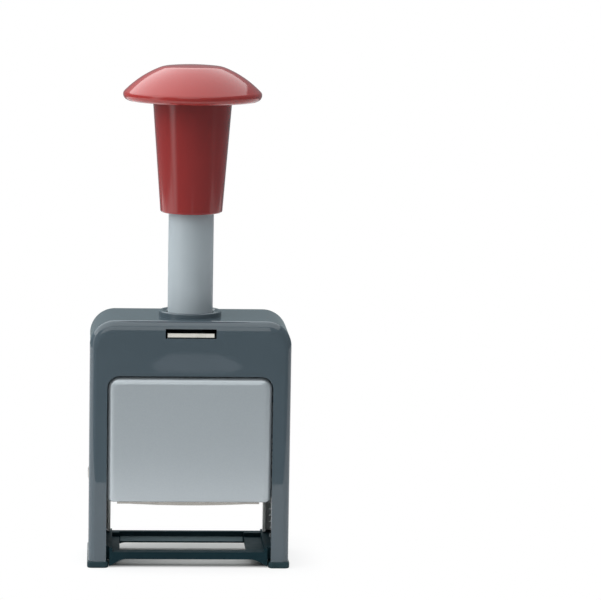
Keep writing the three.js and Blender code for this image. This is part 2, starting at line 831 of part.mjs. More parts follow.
// Rocker: two arms on the shaft, tied by a cross bar behind the wheels
function rockerArm() {
  const [eyeY, eyeZ] = around(rockerReach, rockerAngle);
  const [barY, barZ] = around(rockerReach, barAngle);
  const hub = rodAlongX(rockerHubRadius, rockerInnerX, rockerOuterX, 0, shaftZ);
  const eye = rodAlongX(rockerEyeRadius, rockerInnerX, rockerOuterX, eyeY, eyeZ);
  const lower = rodAlongX(barRadius, rockerInnerX, rockerOuterX, barY, barZ);
  const [upY, upZ] = around(rockerHubRadius, 90 + rockerAngle);
  const [topY, topZ] = [eyeY + rockerEyeRadius * (upY / rockerHubRadius),
    eyeZ + rockerEyeRadius * ((upZ - shaftZ) / rockerHubRadius)];
  const [downY, downZ] = around(rockerHubRadius, barAngle - 90);
  const [footY, footZ] = [barY + barRadius * (downY / rockerHubRadius),
    barZ + barRadius * ((downZ - shaftZ) / rockerHubRadius)];
  const web = prismX(polygon([[upY, upZ], [downY, downZ], [footY, footZ], [barY, barZ],
    [eyeY, eyeZ], [topY, topZ]]), rockerInnerX, rockerOuterX);
  return join(hub, eye, lower, web);
}

function driveRocker() {
  const arm = rockerArm();
  const [barY, barZ] = around(rockerReach, barAngle);
  const [eyeY, eyeZ] = around(rockerReach, rockerAngle);
  const bar = rodAlongX(barRadius, -rockerOuterX, rockerOuterX, barY, barZ);
  return cut(join(arm, arm.mirror([1, 0, 0]), bar),
    rodAlongX(shaftRadius + runGap, -housingWidth, housingWidth, 0, shaftZ),
    rodAlongX(pawlPinRadius + clipGap, -housingWidth, housingWidth, eyeY, eyeZ));
}

function rockerPin() {
  const [eyeY, eyeZ] = around(rockerReach, rockerAngle);
  return rodAlongX(pawlPinRadius, -rockerOuterX, rockerOuterX, eyeY, eyeZ);
}

// Feed pawls: six fingers on one hub that reach between the drums to the ratchets
function feedPawlComb() {
  const [eyeY, eyeZ] = around(rockerReach, rockerAngle);
  const half = rockerInnerX - runGap;
  const hub = rodAlongX(pawlHubRadius, -half, half, eyeY, eyeZ);
  const tip = ratchetRadius + tipClearance;
  const lean = rockerAngle / 2;
  const shape = polygon([
    around(rockerReach, rockerAngle + lean), around(tip, rockerAngle + lean * 2),
    around(tip, rockerAngle), around(rockerReach, rockerAngle - lean / 2),
  ]);
  const fingers = [];
  for (let i = 0; i < wheelCount; i += 1) {
    fingers.push(prismX(shape, fingerLeft(i), fingerLeft(i) + fingerWidth));
  }
  return cut(join(hub, ...fingers),
    rodAlongX(pawlPinRadius + runGap / 2, -housingWidth, housingWidth, eyeY, eyeZ));
}

// Detent: a slotted leaf on the front of the bridge whose fingers steady the ratchets
function detentComb() {
  const rear = -bridgeHalfDepth - seatGap;
  const front = rear - detentThickness;
  const low = bridgeTop - detentBodyHeight;
  const half = wheelPackHalf + runGap;
  const leaf = block([-half, front, low], [half, rear, bridgeTop]);
  const tip = ratchetRadius + tipClearance;
  const tipZ = shaftZ + Math.sqrt(tip * tip - rear * rear);
  const fingers = [];
  for (let i = 0; i < wheelCount; i += 1) {
    const left = fingerLeft(i);
    fingers.push(block([left, front, tipZ], [left + fingerWidth, rear, low + fingerWidth]));
  }
  return join(leaf, ...fingers);
}

// Ink pad tray: a folded sheet with a bowed front lip and two arms that swing on the pivots
function lipShape() {
  const side = trayHalfWidth;
  const shape = new THREE.Shape();
  shape.moveTo(-side, trayBottom + trayLip);
  shape.lineTo(-side, trayBottom + lipBow);
  shape.quadraticCurveTo(0, trayBottom - lipBow, side, trayBottom + lipBow);
  shape.lineTo(side, trayBottom + trayLip);
  return shape;
}

function armShape() {
  const low = trayBottom + lipBow;
  const reach = Math.hypot(pivotY + trayHalfDepth, pivotZ - padTop);
  const shape = new THREE.Shape();
  shape.moveTo(-trayHalfDepth, low);
  shape.lineTo(-trayHalfDepth, padTop);
  shape.lineTo(pivotY - armEyeRadius * ((pivotZ - padTop) / reach), pivotZ + armEyeRadius);
  shape.absarc(pivotY, pivotZ, armEyeRadius, Math.PI / 2, -Math.PI / 4, true);
  shape.lineTo(trayHalfDepth, low);
  return shape;
}

function padTray() {
  const floor = block([-trayHalfWidth, -trayHalfDepth, cartridgeBottom - traySheet],
    [trayHalfWidth, trayHalfDepth, cartridgeBottom]);
  const lip = prismY(lipShape(), -trayHalfDepth, -trayHalfDepth + traySheet);
  const arm = prismX(armShape(), trayHalfWidth - traySheet, trayHalfWidth);
  const hole = rodAlongX(pivotRadius + runGap, -housingWidth, housingWidth, pivotY, pivotZ);
  return cut(join(floor, lip, arm, arm.mirror([1, 0, 0])), hole);
}

function padCartridge() {
  const front = -cartridgeHalfDepth;
  const side = cartridgeHalfWidth - cartridgeWall;
  const body = block([-cartridgeHalfWidth, front, cartridgeBottom],
    [cartridgeHalfWidth, trayHalfDepth, cartridgeBottom + cartridgeHeight]);
  const pocket = block([-side, front + cartridgeWall, cartridgeBottom + cartridgeFloor],
    [side, trayHalfDepth - cartridgeWall, padTop + overrun]);
  return cut(body, pocket);
}

function inkPad() {
  const side = cartridgeHalfWidth - cartridgeWall - clipGap;
  return block([-side, -cartridgeHalfDepth + cartridgeWall + clipGap, cartridgeBottom + cartridgeFloor],
    [side, trayHalfDepth - cartridgeWall - clipGap, padTop]);
}

// The assembled machine
const machine = new THREE.Group();

function add(name, solid, finish) {
  const mesh = new THREE.Mesh(toGeometry(solid), new THREE.MeshStandardMaterial(finish));
  mesh.name = name;
  machine.add(mesh);
}

// A right-hand piece and its mirror image on the left
function addPair(name, solid, finish) {
  add(`${name}_right`, solid, finish);
  add(`${name}_left`, solid.mirror([1, 0, 0]), finish);
}

add('front_shell', frontShell(), slate);
add('rear_shell', rearShell(), slate);
add('top_bush', topBush(), slate);
add('front_panel', frontPanel(), greyPlastic);
add('lock_slide', lockSlide(), nickel);
add('base_frame', baseFrame(), blackPlastic);
addPair('foot', foot(), blackPlastic);
addPair('guide_rod', guideRod(), steel);
addPair('return_spring', returnSpring(), steel);
addPair('bearing_plate', bearingPlate(), acetal);
addPair('pad_pivot', padPivot(), nickel);

add('carriage_frame', carriageFrame(), steel);
addPair('slider', slider(), acetal);
add('plunger_tube', plungerTube(), greyPlastic);
add('plunger_rod', plungerRod(), steel);
add('rod_nut', rodNut(), nickel);
add('stop_collar', stopCollar(), steel);
add('stop_buffer', stopBuffer(), rubber);
add('knob_sleeve', knobSleeve(), red);
add('knob_cap', knobCap(), red);

add('wheel_shaft', wheelShaft(), steel);
addPair('shaft_clip', shaftClip(), steel);
for (let i = 0; i < wheelCount; i += 1) {
  add(`number_wheel_${i + 1}`, numberWheel(i), brass);
}
add('drive_rocker', driveRocker(), steel);
add('rocker_pin', rockerPin(), steel);
add('feed_pawl_comb', feedPawlComb(), steel);
add('detent_comb', detentComb(), steel);

add('pad_tray', padTray(), nickel);
add('pad_cartridge', padCartridge(), blackPlastic);
add('ink_pad', inkPad(), felt);

console.log(`wheel shaft height ${shaftZ.toFixed(2)} mm, stroke ${stroke.toFixed(2)} mm`);

export default machine;
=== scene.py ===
# %% [markdown]
# # Dressing a desk numbering machine
# The machine is a self-inking stamp. Its pieces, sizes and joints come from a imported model,
# which this script loads as a fixed frame. Everything here is about looks: smooth shapes in
# place of faceted ones, small fasteners, raised digits and a finish for every surface.
# The frame comes first, because every piece below takes its size and place from it.

# %% Load the frame
import math

import bmesh
import bpy
from mathutils import Matrix, Vector, noise


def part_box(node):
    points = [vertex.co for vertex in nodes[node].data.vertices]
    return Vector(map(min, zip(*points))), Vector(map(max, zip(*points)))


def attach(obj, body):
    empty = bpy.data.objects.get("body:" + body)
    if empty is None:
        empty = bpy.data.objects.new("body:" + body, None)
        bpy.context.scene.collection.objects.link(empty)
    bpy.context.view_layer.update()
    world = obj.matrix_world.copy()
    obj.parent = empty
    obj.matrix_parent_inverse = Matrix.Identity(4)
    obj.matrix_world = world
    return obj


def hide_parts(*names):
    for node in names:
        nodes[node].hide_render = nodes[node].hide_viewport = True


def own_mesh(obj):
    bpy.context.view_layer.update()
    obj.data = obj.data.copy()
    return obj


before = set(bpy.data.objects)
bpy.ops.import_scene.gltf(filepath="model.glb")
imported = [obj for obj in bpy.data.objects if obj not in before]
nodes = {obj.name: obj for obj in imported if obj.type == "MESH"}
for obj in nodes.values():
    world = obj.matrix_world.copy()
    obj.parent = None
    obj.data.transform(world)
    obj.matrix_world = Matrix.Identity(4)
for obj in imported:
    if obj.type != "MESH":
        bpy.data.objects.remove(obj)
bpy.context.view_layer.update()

# %% [markdown]
# ## Units and small helpers
# Blender works in metres, and the machine is easier to think of in millimetres, so one
# helper turns one into the other. Two more read a node's box from the frame.

# %% Units and boxes
MM = 0.001


def mm(*values):
    """Millimetres as metres: a number for one value, a Vector for three."""
    scaled = [value * MM for value in values]
    return scaled[0] if len(scaled) == 1 else Vector(scaled)


def box_mm(name):
    """Lowest and highest corner of a node, in millimetres."""
    low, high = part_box(name)
    return low / MM, high / MM


def middle_mm(name):
    low, high = box_mm(name)
    return (low + high) / 2


# %% [markdown]
# ## Camera
# The photograph was taken from about a metre away with a long lens, a little to the left of
# the machine and looking slightly down. A long lens keeps the upright edges almost parallel.
# The place and angles below were found by fitting edges of the machine to the photograph. The
# lens is the one that gives the machine its size in the picture at that distance.

# %% Camera
CAMERA_PLACE = mm(-31.4, -1106.1, 244.4)
CAMERA_DOWN = math.radians(7.80)
CAMERA_RIGHT = math.radians(3.628)
CAMERA_ROLL = math.radians(0.97)
CAMERA_LENS = 190.7

camera = bpy.data.objects.new("camera", bpy.data.cameras.new("camera"))
bpy.context.scene.collection.objects.link(camera)
bpy.context.scene.camera = camera
camera.data.lens = CAMERA_LENS
turn = Matrix.Rotation(-CAMERA_RIGHT, 4, "Z") @ Matrix.Rotation(math.pi / 2 - CAMERA_DOWN, 4, "X")
camera.matrix_world = Matrix.Translation(CAMERA_PLACE) @ turn @ Matrix.Rotation(CAMERA_ROLL, 4, "Z")
print("camera:", CAMERA_LENS, "mm lens at", [round(value, 3) for value in CAMERA_PLACE])

# %% [markdown]
# ## Node trees
# Materials and Geometry Nodes are both trees of nodes. One function adds a node with its
# settings and its links, so each tree below reads as a list of steps. Colours are written as
# the sRGB hex values that a colour picker shows, and one function turns them to the linear
# values that a shader works in.

# %% One function to add a node, one to read a colour
def add(tree, kind, inputs=None, **settings):
    """Adds a node. inputs maps a socket's name or number to a value, a socket or a node.

    A node stands for its first output.
    """
    node = tree.nodes.new(kind)
    for name, value in settings.items():
        setattr(node, name, value)
    for key, value in (inputs or {}).items():
        socket = node.inputs[key]
        if isinstance(value, bpy.types.Node):
            value = value.outputs[0]
        if isinstance(value, bpy.types.NodeSocket):
            tree.links.new(value, socket)
        else:
            socket.default_value = value
    return node


def linear(hex_colour):
    """An sRGB hex colour such as 9ca4a7 as linear red, green, blue and alpha."""
    channels = [int(hex_colour[i:i + 2], 16) / 255 for i in (0, 2, 4)]
    return [c / 12.92 if c <= 0.04045 else ((c + 0.055) / 1.055) ** 2.4 for c in channels] + [1]


# %% [markdown]
# ## Light and floor
# The photograph is lit by a wide panel of white cloth overhead and behind, and by a taller one
# on the left. The backdrop is white to the eye, but low down, where the glossy knob mirrors it,
# it is dim, so the world has three looks: white for the camera, an even pale grey as ambient
# light, and for reflections a gradient that is dim at the horizon and in front, and bright high
# up, behind the machine and to its left.

# %% World
AMBIENT, AMBIENT_COLOUR = 0.13, "e9eef3"
HORIZON, HIGH_UP = 0.30, 0.56
MIRRORED_COLOUR = "e6f9ff"
# Each row fades the mirrored glow along one axis: axis, start, end and the levels at the two.
GLOW_FADES = (("Z", 0.10, 0.70, 0.0, HIGH_UP), ("Y", -0.35, 0.30, 0.25, 1.0), ("X", -0.45, 0.45, 1.15, 0.35))


def build_world(tree):
    path = add(tree, "ShaderNodeLightPath")
    place = add(tree, "ShaderNodeTexCoord")
    axes = add(tree, "ShaderNodeSeparateXYZ", {0: place.outputs["Generated"]}).outputs
    glow = 1.0
    for axis, start, end, low, high in GLOW_FADES:
        fade = add(tree, "ShaderNodeMapRange", {
            "Value": axes[axis], "From Min": start, "From Max": end, "To Min": low, "To Max": high,
        }, interpolation_type="SMOOTHSTEP")
        glow = add(tree, "ShaderNodeMath", {0: glow, 1: fade}, operation="MULTIPLY")
    strength = add(tree, "ShaderNodeMath", {0: glow, 1: HORIZON}, operation="ADD")
    mirror = add(tree, "ShaderNodeMath", {
        0: path.outputs["Is Glossy Ray"], 1: path.outputs["Is Transmission Ray"]}, operation="MAXIMUM")
    ambient = add(tree, "ShaderNodeBackground", {"Color": linear(AMBIENT_COLOUR), "Strength": AMBIENT})
    shown = add(tree, "ShaderNodeBackground", {"Color": linear(MIRRORED_COLOUR), "Strength": strength})
    plain = add(tree, "ShaderNodeBackground", {"Color": (1, 1, 1, 1), "Strength": 1.0})
    reflected = add(tree, "ShaderNodeMixShader", {0: mirror, 1: ambient, 2: shown})
    final = add(tree, "ShaderNodeMixShader", {0: path.outputs["Is Camera Ray"], 1: reflected, 2: plain})
    add(tree, "ShaderNodeOutputWorld", {"Surface": final})


world = bpy.data.worlds.new("studio")
bpy.context.scene.world = world
world.use_nodes = True
world.node_tree.nodes.clear()
build_world(world.node_tree)
bpy.context.scene.view_settings.view_transform = "Standard"
print("world: ambient", AMBIENT, "and a gradient from", HORIZON, "for reflections")

# %% [markdown]
# A real soft box is brightest in the middle and dies away at its ends, and a panel of cloth that
# is lit from one side is brighter there. Blender's area lamp is even all over, so a lamp may get
# a small node tree of its own that fades its ends and tilts its brightness. Brightness is given
# as radiance, because that is what a mirror shows, and the lamp's power follows from its size.

# %% Soft boxes
ABOVE_BASE = (0, 0, 0.09)
OVERHEAD = (-0.75, 0.40)
# name, place, width, height, radiance and what else the lamp needs; metres
LAMPS = (
    ("overhead_box", (*OVERHEAD, 1.10), 3.30, 3.20, 1.64, {"aim": (*OVERHEAD, 0), "lean": 0.2}),
    ("left_wall", (-1.00, -0.35, 0.50), 0.80, 1.00, 1.75, {"mirrored": False}),
    ("left_strip", (-1.00, -0.50, 0.22), 0.60, 1.10, 1.12, {"soft": 0.5}),
    ("right_strip", (1.00, -0.40, 0.30), 0.60, 0.90, 0.10, {"soft": 0.5}),
    ("front_fill", (-0.20, -1.30, 0.72), 0.90, 0.60, 1.10, {}),
)


def shape_glow(data, share, lean):
    """Fades a lamp out over this share of its width at both ends and dims it towards one end."""
    data.use_nodes = True
    tree = data.node_tree
    tree.nodes.clear()
    across = add(tree, "ShaderNodeSeparateXYZ", {
        0: add(tree, "ShaderNodeNewGeometry").outputs["Parametric"]}).outputs["X"]
    glow = 1.0
    fades = ((-0.01, share, 0.0, 1.0), (1.0 - share, 1.01, 1.0, 0.0), (0.0, 1.0, 1.0 + lean, 1.0 - lean))
    for start, end, low, high in fades:
        level = add(tree, "ShaderNodeMapRange", {
            "Value": across, "From Min": start, "From Max": end, "To Min": low, "To Max": high,
        }, interpolation_type="SMOOTHSTEP")
        glow = add(tree, "ShaderNodeMath", {0: glow, 1: level}, operation="MULTIPLY")
    emission = add(tree, "ShaderNodeEmission", {"Strength": glow})
    add(tree, "ShaderNodeOutputLight", {"Surface": emission})


def soft_box(name, place, width, height, radiance, aim=ABOVE_BASE, mirrored=True, soft=0.0, lean=0.0):
    """An area lamp aimed at a point. Radiance 1 looks white in a mirror."""
    data = bpy.data.lights.new(name, "AREA")
    data.shape = "RECTANGLE"
    data.size, data.size_y = width, height
    data.energy = math.pi * radiance * width * height
    lamp = bpy.data.objects.new(name, data)
    bpy.context.scene.collection.objects.link(lamp)
    lamp.location = place
    direction = Vector(aim) - lamp.location
    lamp.rotation_mode = "QUATERNION"
    lamp.rotation_quaternion = direction.to_track_quat("-Z", "Y")
    lamp.visible_glossy = mirrored
    if soft or lean:
        shape_glow(data, soft, lean)
    return lamp


lamps = [soft_box(*sizes, **more) for *sizes, more in LAMPS]
print("lamps:", [lamp.name for lamp in lamps])

# %% [markdown]
# The floor is a sheet of white card that ends a hand's width in front of the machine. Its front
# edge can't be seen, but it shows in the glossy legs as a step from light to dark. Right at the
# machine's feet the card shows its shadow, and a few centimetres out it turns to pure white, as
# the printed photograph does. Under the machine the card is also coloured darker, as painted
# shade on top of that shadow. A small six cornered sheet lies farther out in front. Nobody sees
# it either, but the glossy brow of the housing mirrors it as a faint lighter patch.

# %% Sizes of the floor
CARD_FRONT, CARD_BACK, CARD_SIDE = -0.170, 0.55, 0.60
# The second colour is painted shade: inside the footprint the card is coloured darker than elsewhere. The
# footprint is set back, so this painted shade also covers the floor seen under the rear bar.
CARD_COLOUR, CARD_PAINTED_SHADE_COLOUR = "f7f8f9", "d6d8d7"
FOOTPRINT_MIDDLE = (0, 0.006, 0)
FOOTPRINT = (0.0355, 0.0235, 0)
FOOTPRINT_EDGE = 0.006
SHADOW_REACH = 0.016
# How much of the card is pure white to the camera: under the machine, and at its footprint's edge.
SHADOW_SHARES = (0.0, 0.80)
SHEET_CORNERS = ((-0.007, -0.471), (-0.003, -0.442), (0.032, -0.444), (0.039, -0.464), (0.027, -0.504),
                 (0.003, -0.507))
SHEET_COLOUR, SHEET_RADIANCE = "ecf6ff", 0.8

# %% The looks of the card and the sheet
def card_around(tree):
    """Two masks that rise smoothly from 0 to 1: over the footprint's edge, and away from it."""
    place = add(tree, "ShaderNodeTexCoord").outputs["Object"]
    centred = add(tree, "ShaderNodeVectorMath", {0: place, 1: FOOTPRINT_MIDDLE}, operation="SUBTRACT")
    across = add(tree, "ShaderNodeVectorMath", {0: centred}, operation="ABSOLUTE")
    past = add(tree, "ShaderNodeVectorMath", {0: across, 1: FOOTPRINT}, operation="SUBTRACT")
    sides = add(tree, "ShaderNodeSeparateXYZ", {0: past}).outputs
    nearest = add(tree, "ShaderNodeMath", {0: sides["X"], 1: sides["Y"]}, operation="MAXIMUM")
    outside = add(tree, "ShaderNodeVectorMath", {0: past, 1: (0, 0, 0)}, operation="MAXIMUM")
    away = add(tree, "ShaderNodeVectorMath", {0: outside}, operation="LENGTH").outputs["Value"]
    spans = ((nearest, -FOOTPRINT_EDGE, 0.0), (away, 0.0, SHADOW_REACH))
    return [add(tree, "ShaderNodeMapRange", {
        "Value": value, "From Min": start, "From Max": end}, interpolation_type="SMOOTHSTEP")
        for value, start, end in spans]


def floor_material():
    material = bpy.data.materials.new("white_card")
    material.use_nodes = True
    tree = material.node_tree
    tree.nodes.clear()
    edge, beyond = card_around(tree)
    under_share, edge_share = SHADOW_SHARES
    near = add(tree, "ShaderNodeMath", {
        0: edge, 1: edge_share - under_share, 2: under_share}, operation="MULTIPLY_ADD")
    whiteness = add(tree, "ShaderNodeMath", {0: beyond, 1: 1 - edge_share, 2: near}, operation="MULTIPLY_ADD")
    seen = add(tree, "ShaderNodeLightPath").outputs["Is Camera Ray"]
    share = add(tree, "ShaderNodeMath", {0: whiteness, 1: seen}, operation="MULTIPLY")
    # Painted shade: inside the footprint the card's colour turns to the darker one.
    shaded = add(tree, "ShaderNodeMix", {
        0: edge, 6: linear(CARD_PAINTED_SHADE_COLOUR), 7: linear(CARD_COLOUR)}, data_type="RGBA").outputs[2]
    card = add(tree, "ShaderNodeBsdfDiffuse", {"Color": shaded})
    white = add(tree, "ShaderNodeEmission", {"Color": (1, 1, 1, 1), "Strength": 1.0})
    mixed = add(tree, "ShaderNodeMixShader", {0: share, 1: card, 2: white})
    below = add(tree, "ShaderNodeNewGeometry").outputs["Backfacing"]
    clear = add(tree, "ShaderNodeBsdfTransparent")
    final = add(tree, "ShaderNodeMixShader", {0: below, 1: mixed, 2: clear})
    add(tree, "ShaderNodeOutputMaterial", {"Surface": final})
    return material


def sheet_material():
    material = bpy.data.materials.new("lit_sheet")
    material.use_nodes = True
    tree = material.node_tree
    tree.nodes.clear()
    glow = add(tree, "ShaderNodeEmission", {"Color": linear(SHEET_COLOUR), "Strength": SHEET_RADIANCE})
    add(tree, "ShaderNodeOutputMaterial", {"Surface": glow})
    return material


# %% Floor
def lay_sheet(name, corners, material):
    """A flat sheet on the ground."""
    mesh = bpy.data.meshes.new(name)
    mesh.from_pydata([(x, y, 0) for x, y in corners], [], [tuple(range(len(corners)))])
    mesh.materials.append(material)
    sheet = bpy.data.objects.new(name, mesh)
    bpy.context.scene.collection.objects.link(sheet)
    return sheet


floor = lay_sheet("floor", [(-CARD_SIDE, CARD_FRONT), (CARD_SIDE, CARD_FRONT), (CARD_SIDE, CARD_BACK),
                            (-CARD_SIDE, CARD_BACK)], floor_material())
sheet = lay_sheet("mirrored_sheet", SHEET_CORNERS, sheet_material())
sheet.visible_camera = False
print("floor: a card from", CARD_FRONT, "to", CARD_BACK, "m, and", sheet.name)

# %% [markdown]
# ## Finishes
# Each finish starts from what the real one is and how its surface was made. A plastic part
# copies the skin of its mould, which is spark eroded to a fine grain or polished. A sheet metal
# part keeps the lines of the rolls, and a turned one the rings of the cutter. The grain is
# far finer than a pixel here, so it is drawn a little coarser than the real one.

# %% Shared steps of a finish
NOISE_LOW, NOISE_HIGH = 0.25, 0.75


def new_finish(name, colour, roughness, metallic=0.0, ior=None):
    """A Principled material and its two working nodes. A metal keeps the default IOR."""
    material = bpy.data.materials.new(name)
    material.use_nodes = True
    tree = material.node_tree
    tree.nodes.clear()
    shader = add(tree, "ShaderNodeBsdfPrincipled", {
        "Base Color": linear(colour), "Roughness": roughness, "Metallic": metallic})
    if ior:
        shader.inputs["IOR"].default_value = ior
    add(tree, "ShaderNodeOutputMaterial", {"Surface": shader})
    return material, tree, shader


def grain(tree, size_mm, stretch=(1, 1, 1), detail=2.0):
    """Noise whose blotches are about size_mm wide, longer along an axis with a small stretch."""
    place = add(tree, "ShaderNodeTexCoord").outputs["Object"]
    scaled = add(tree, "ShaderNodeMapping", {"Vector": place, "Scale": stretch})
    return add(tree, "ShaderNodeTexNoise", {
        "Vector": scaled, "Scale": 1 / mm(size_mm), "Detail": detail}).outputs["Fac"]


def vary(tree, shader, name, value, low, high, start=NOISE_LOW, end=NOISE_HIGH):
    """Lets a number of the shader run from low to high while value goes from start to end."""
    level = add(tree, "ShaderNodeMapRange", {
        "Value": value, "From Min": start, "From Max": end, "To Min": low, "To Max": high})
    tree.links.new(level.outputs[0], shader.inputs[name])


def tint(tree, shader, value, dark, light, start=NOISE_LOW, end=NOISE_HIGH):
    """Base colour that goes from one hex colour to another while value goes from start to end."""
    share = add(tree, "ShaderNodeMapRange", {"Value": value, "From Min": start, "From Max": end})
    mix = add(tree, "ShaderNodeMix", {0: share, 6: linear(dark), 7: linear(light)}, data_type="RGBA")
    tree.links.new(mix.outputs[2], shader.inputs["Base Color"])
    return mix.outputs[2]


def relief(tree, shader, *layers):
    """Bumps on top of one another. Each layer is its height and its real depth in millimetres."""
    normal = {}
    for height, depth_mm in layers:
        bump = add(tree, "ShaderNodeBump", {
            "Height": height, "Distance": mm(depth_mm), "Strength": 1.0, **normal})
        normal = {"Normal": bump}
    tree.links.new(bump.outputs[0], shader.inputs["Normal"])


# %% [markdown]
# The two housing shells are slate grey ABS from a polished mould. The skin is nearly a mirror, so
# the studio shows in it as pale and dark fields with clear edges, and only a trace of waviness,
# from the plastic's shrinking, bends them. The tone drifts a little with the flow of the melt.

# %% Slate ABS of the housing
def slate_abs():
    material, tree, shader = new_finish("slate_abs", "4a575f", roughness=0.02, ior=1.58)
    tint(tree, shader, grain(tree, size_mm=26), "48555d", "4c5961")
    skin, shrinkage = grain(tree, size_mm=0.5, detail=3), grain(tree, size_mm=14)
    relief(tree, shader, (skin, 0.0012), (shrinkage, 0.02))
    vary(tree, shader, "Roughness", grain(tree, size_mm=6), low=0.012, high=0.024, start=0.0, end=1.0)
    return material


# %% [markdown]
# The base frame and the shoes are black ABS. The frame's mould is eroded, which makes it dull, and
# a low specular level keeps its flat bars dark below the overhead panel. The shoes are smoother,
# with a soft sheen. A narrow box on the bevel behind the print window is coloured a pale grey,
# as painted light on that bevel.

# %% Black ABS of the base
# A narrow box on the rear bar's bevel, coloured pale grey as painted light on that face.
PAINTED_LIGHT_LOW, PAINTED_LIGHT_HIGH = mm(-23.6, 12.75, 3.2), mm(20.2, 14.35, 4.72)
PAINTED_LIGHT_COLOUR = "8499a0"


def painted_light_box(tree):
    """1 inside the narrow box on the bevel that is coloured pale as painted light, 0 outside it."""
    place = add(tree, "ShaderNodeTexCoord").outputs["Object"]
    above = add(tree, "ShaderNodeVectorMath", {0: place, 1: PAINTED_LIGHT_LOW}, operation="SUBTRACT")
    below = add(tree, "ShaderNodeVectorMath", {0: PAINTED_LIGHT_HIGH, 1: place}, operation="SUBTRACT")
    least = add(tree, "ShaderNodeVectorMath", {0: above, 1: below}, operation="MINIMUM")
    axes = add(tree, "ShaderNodeSeparateXYZ", {0: least}).outputs
    flat = add(tree, "ShaderNodeMath", {0: axes["X"], 1: axes["Y"]}, operation="MINIMUM")
    within = add(tree, "ShaderNodeMath", {0: flat, 1: axes["Z"]}, operation="MINIMUM")
    return add(tree, "ShaderNodeMath", {0: within, 1: 0.0}, operation="GREATER_THAN")


def black_abs(name, dark, light, smooth, coarse, specular):
    material, tree, shader = new_finish(name, light, roughness=coarse, ior=1.36)
    plain = tint(tree, shader, grain(tree, size_mm=14), dark, light)
    # Painted light: inside that box the bevel takes the pale colour.
    mix = add(tree, "ShaderNodeMix", {
        0: painted_light_box(tree), 6: plain, 7: linear(PAINTED_LIGHT_COLOUR)}, data_type="RGBA")
    tree.links.new(mix.outputs[2], shader.inputs["Base Color"])
    shader.inputs["Specular IOR Level"].default_value = specular
    relief(tree, shader, (grain(tree, size_mm=0.5, detail=3), 0.003))
    vary(tree, shader, "Roughness", grain(tree, size_mm=4), low=smooth, high=coarse)
    return material


# %% [markdown]
# The front panel is moulded in silver grey with a trace of metal pigment, which a little metallic
# stands for. Its mould is finely matted, so its rounded edges catch a soft, pale border of light
# and its face shows no picture of the room.

# %% Silver grey plastic of the panel
def silver_abs():
    material, tree, shader = new_finish("silver_grey_abs", "b9c0c4", roughness=0.22, metallic=0.30)
    tint(tree, shader, grain(tree, size_mm=0.5, detail=3), "b4bbbf", "b8bfc3")
    relief(tree, shader, (grain(tree, size_mm=0.4, detail=3), 0.0015))
    vary(tree, shader, "Roughness", grain(tree, size_mm=3), low=0.20, high=0.24, start=0.0, end=1.0)
    return material


# %% [markdown]
# The tube is light grey acetal, a waxy plastic that slides well without oil, and the runners and
# bearing strips are acetal in its natural white. Light goes a little way into it. Faint lines are
# worn into it along the way that it slides.

# %% Acetal, light grey for the tube and natural for the runners
def acetal(name, dark, light, wear_stretch):
    material, tree, shader = new_finish(name, light, roughness=0.38, ior=1.48)
    tint(tree, shader, grain(tree, size_mm=18), dark, light)
    lines = grain(tree, size_mm=0.45, stretch=wear_stretch, detail=3)
    relief(tree, shader, (lines, 0.002))
    vary(tree, shader, "Roughness", lines, low=0.30, high=0.38)
    shader.inputs["Subsurface Weight"].default_value = 0.06
    shader.inputs["Subsurface Radius"].default_value = (1, 1, 1)
    shader.inputs["Subsurface Scale"].default_value = mm(0.8)
    return material


# %% [markdown]
# The knob is red plastic from a polished mould. A faint long wave in the skin, from shrinkage as
# it cooled, keeps its reflections from looking drawn. The cap and the sleeve are the same red, and
# the sleeve's finish is that red made a shade deeper, as painted shade.

# %% Polished red plastic of the knob
def polished_red(name, dark, light):
    material, tree, shader = new_finish(name, light, roughness=0.09, ior=1.54)
    tint(tree, shader, grain(tree, size_mm=22), dark, light)
    wave, skin = grain(tree, size_mm=11), grain(tree, size_mm=0.8, detail=3)
    relief(tree, shader, (wave, 0.012), (skin, 0.0006))
    vary(tree, shader, "Roughness", grain(tree, size_mm=9), low=0.07, high=0.11)
    return material


# %% [markdown]
# The slide, the pad's tray and the pins are mild steel with bright nickel on it. The plating
# follows the rolled sheet below, so it shows fine lines one way and a warm grey tone.

# %% Nickel plate on rolled steel
def nickel_plate(name, stretch):
    material, tree, shader = new_finish(name, "aaa7a1", roughness=0.25, metallic=1.0)
    lines = grain(tree, size_mm=0.22, stretch=stretch, detail=3)
    relief(tree, shader, (lines, 0.005))
    tint(tree, shader, grain(tree, size_mm=5), "a29e97", "b2aea7")
    vary(tree, shader, "Roughness", lines, low=0.19, high=0.31)
    return material


# %% [markdown]
# Inner sheet parts are bare stamped steel, and shafts and rods are turned. Both carry a film
# of oil that has gathered dust, which shows as darker, duller clouds. The fine lines of the rolls
# or of the cutter add to that dullness.

# %% Bare steel, stamped or turned
FILM_LOW, FILM_HIGH = 0.3, 0.7


def bare_steel(name, stretch, dark="77797b", light="a2a3a4"):
    material, tree, shader = new_finish(name, light, roughness=0.32, metallic=1.0)
    film = grain(tree, size_mm=6, detail=4)
    tint(tree, shader, film, dark, light, start=FILM_LOW, end=FILM_HIGH)
    lines = grain(tree, size_mm=0.18, stretch=stretch, detail=3)
    relief(tree, shader, (lines, 0.007))
    dulled = add(tree, "ShaderNodeMapRange", {
        "Value": film, "From Min": FILM_LOW, "From Max": FILM_HIGH, "To Min": 0.38, "To Max": 0.25})
    scored = add(tree, "ShaderNodeMapRange", {
        "Value": lines, "From Min": NOISE_LOW, "From Max": NOISE_HIGH, "To Min": 0.0, "To Max": 0.10})
    rough = add(tree, "ShaderNodeMath", {0: scored, 1: dulled}, operation="ADD")
    tree.links.new(rough.outputs[0], shader.inputs["Roughness"])
    return material


# %% [markdown]
# The number wheels are pressure cast brass. Their sides keep the grain of the die, and violet
# black ink has dried in every hollow. The ink shows where the surface lies low, so its mask
# comes from how far a point is from the wheel's axis, which each wheel carries as an attribute.

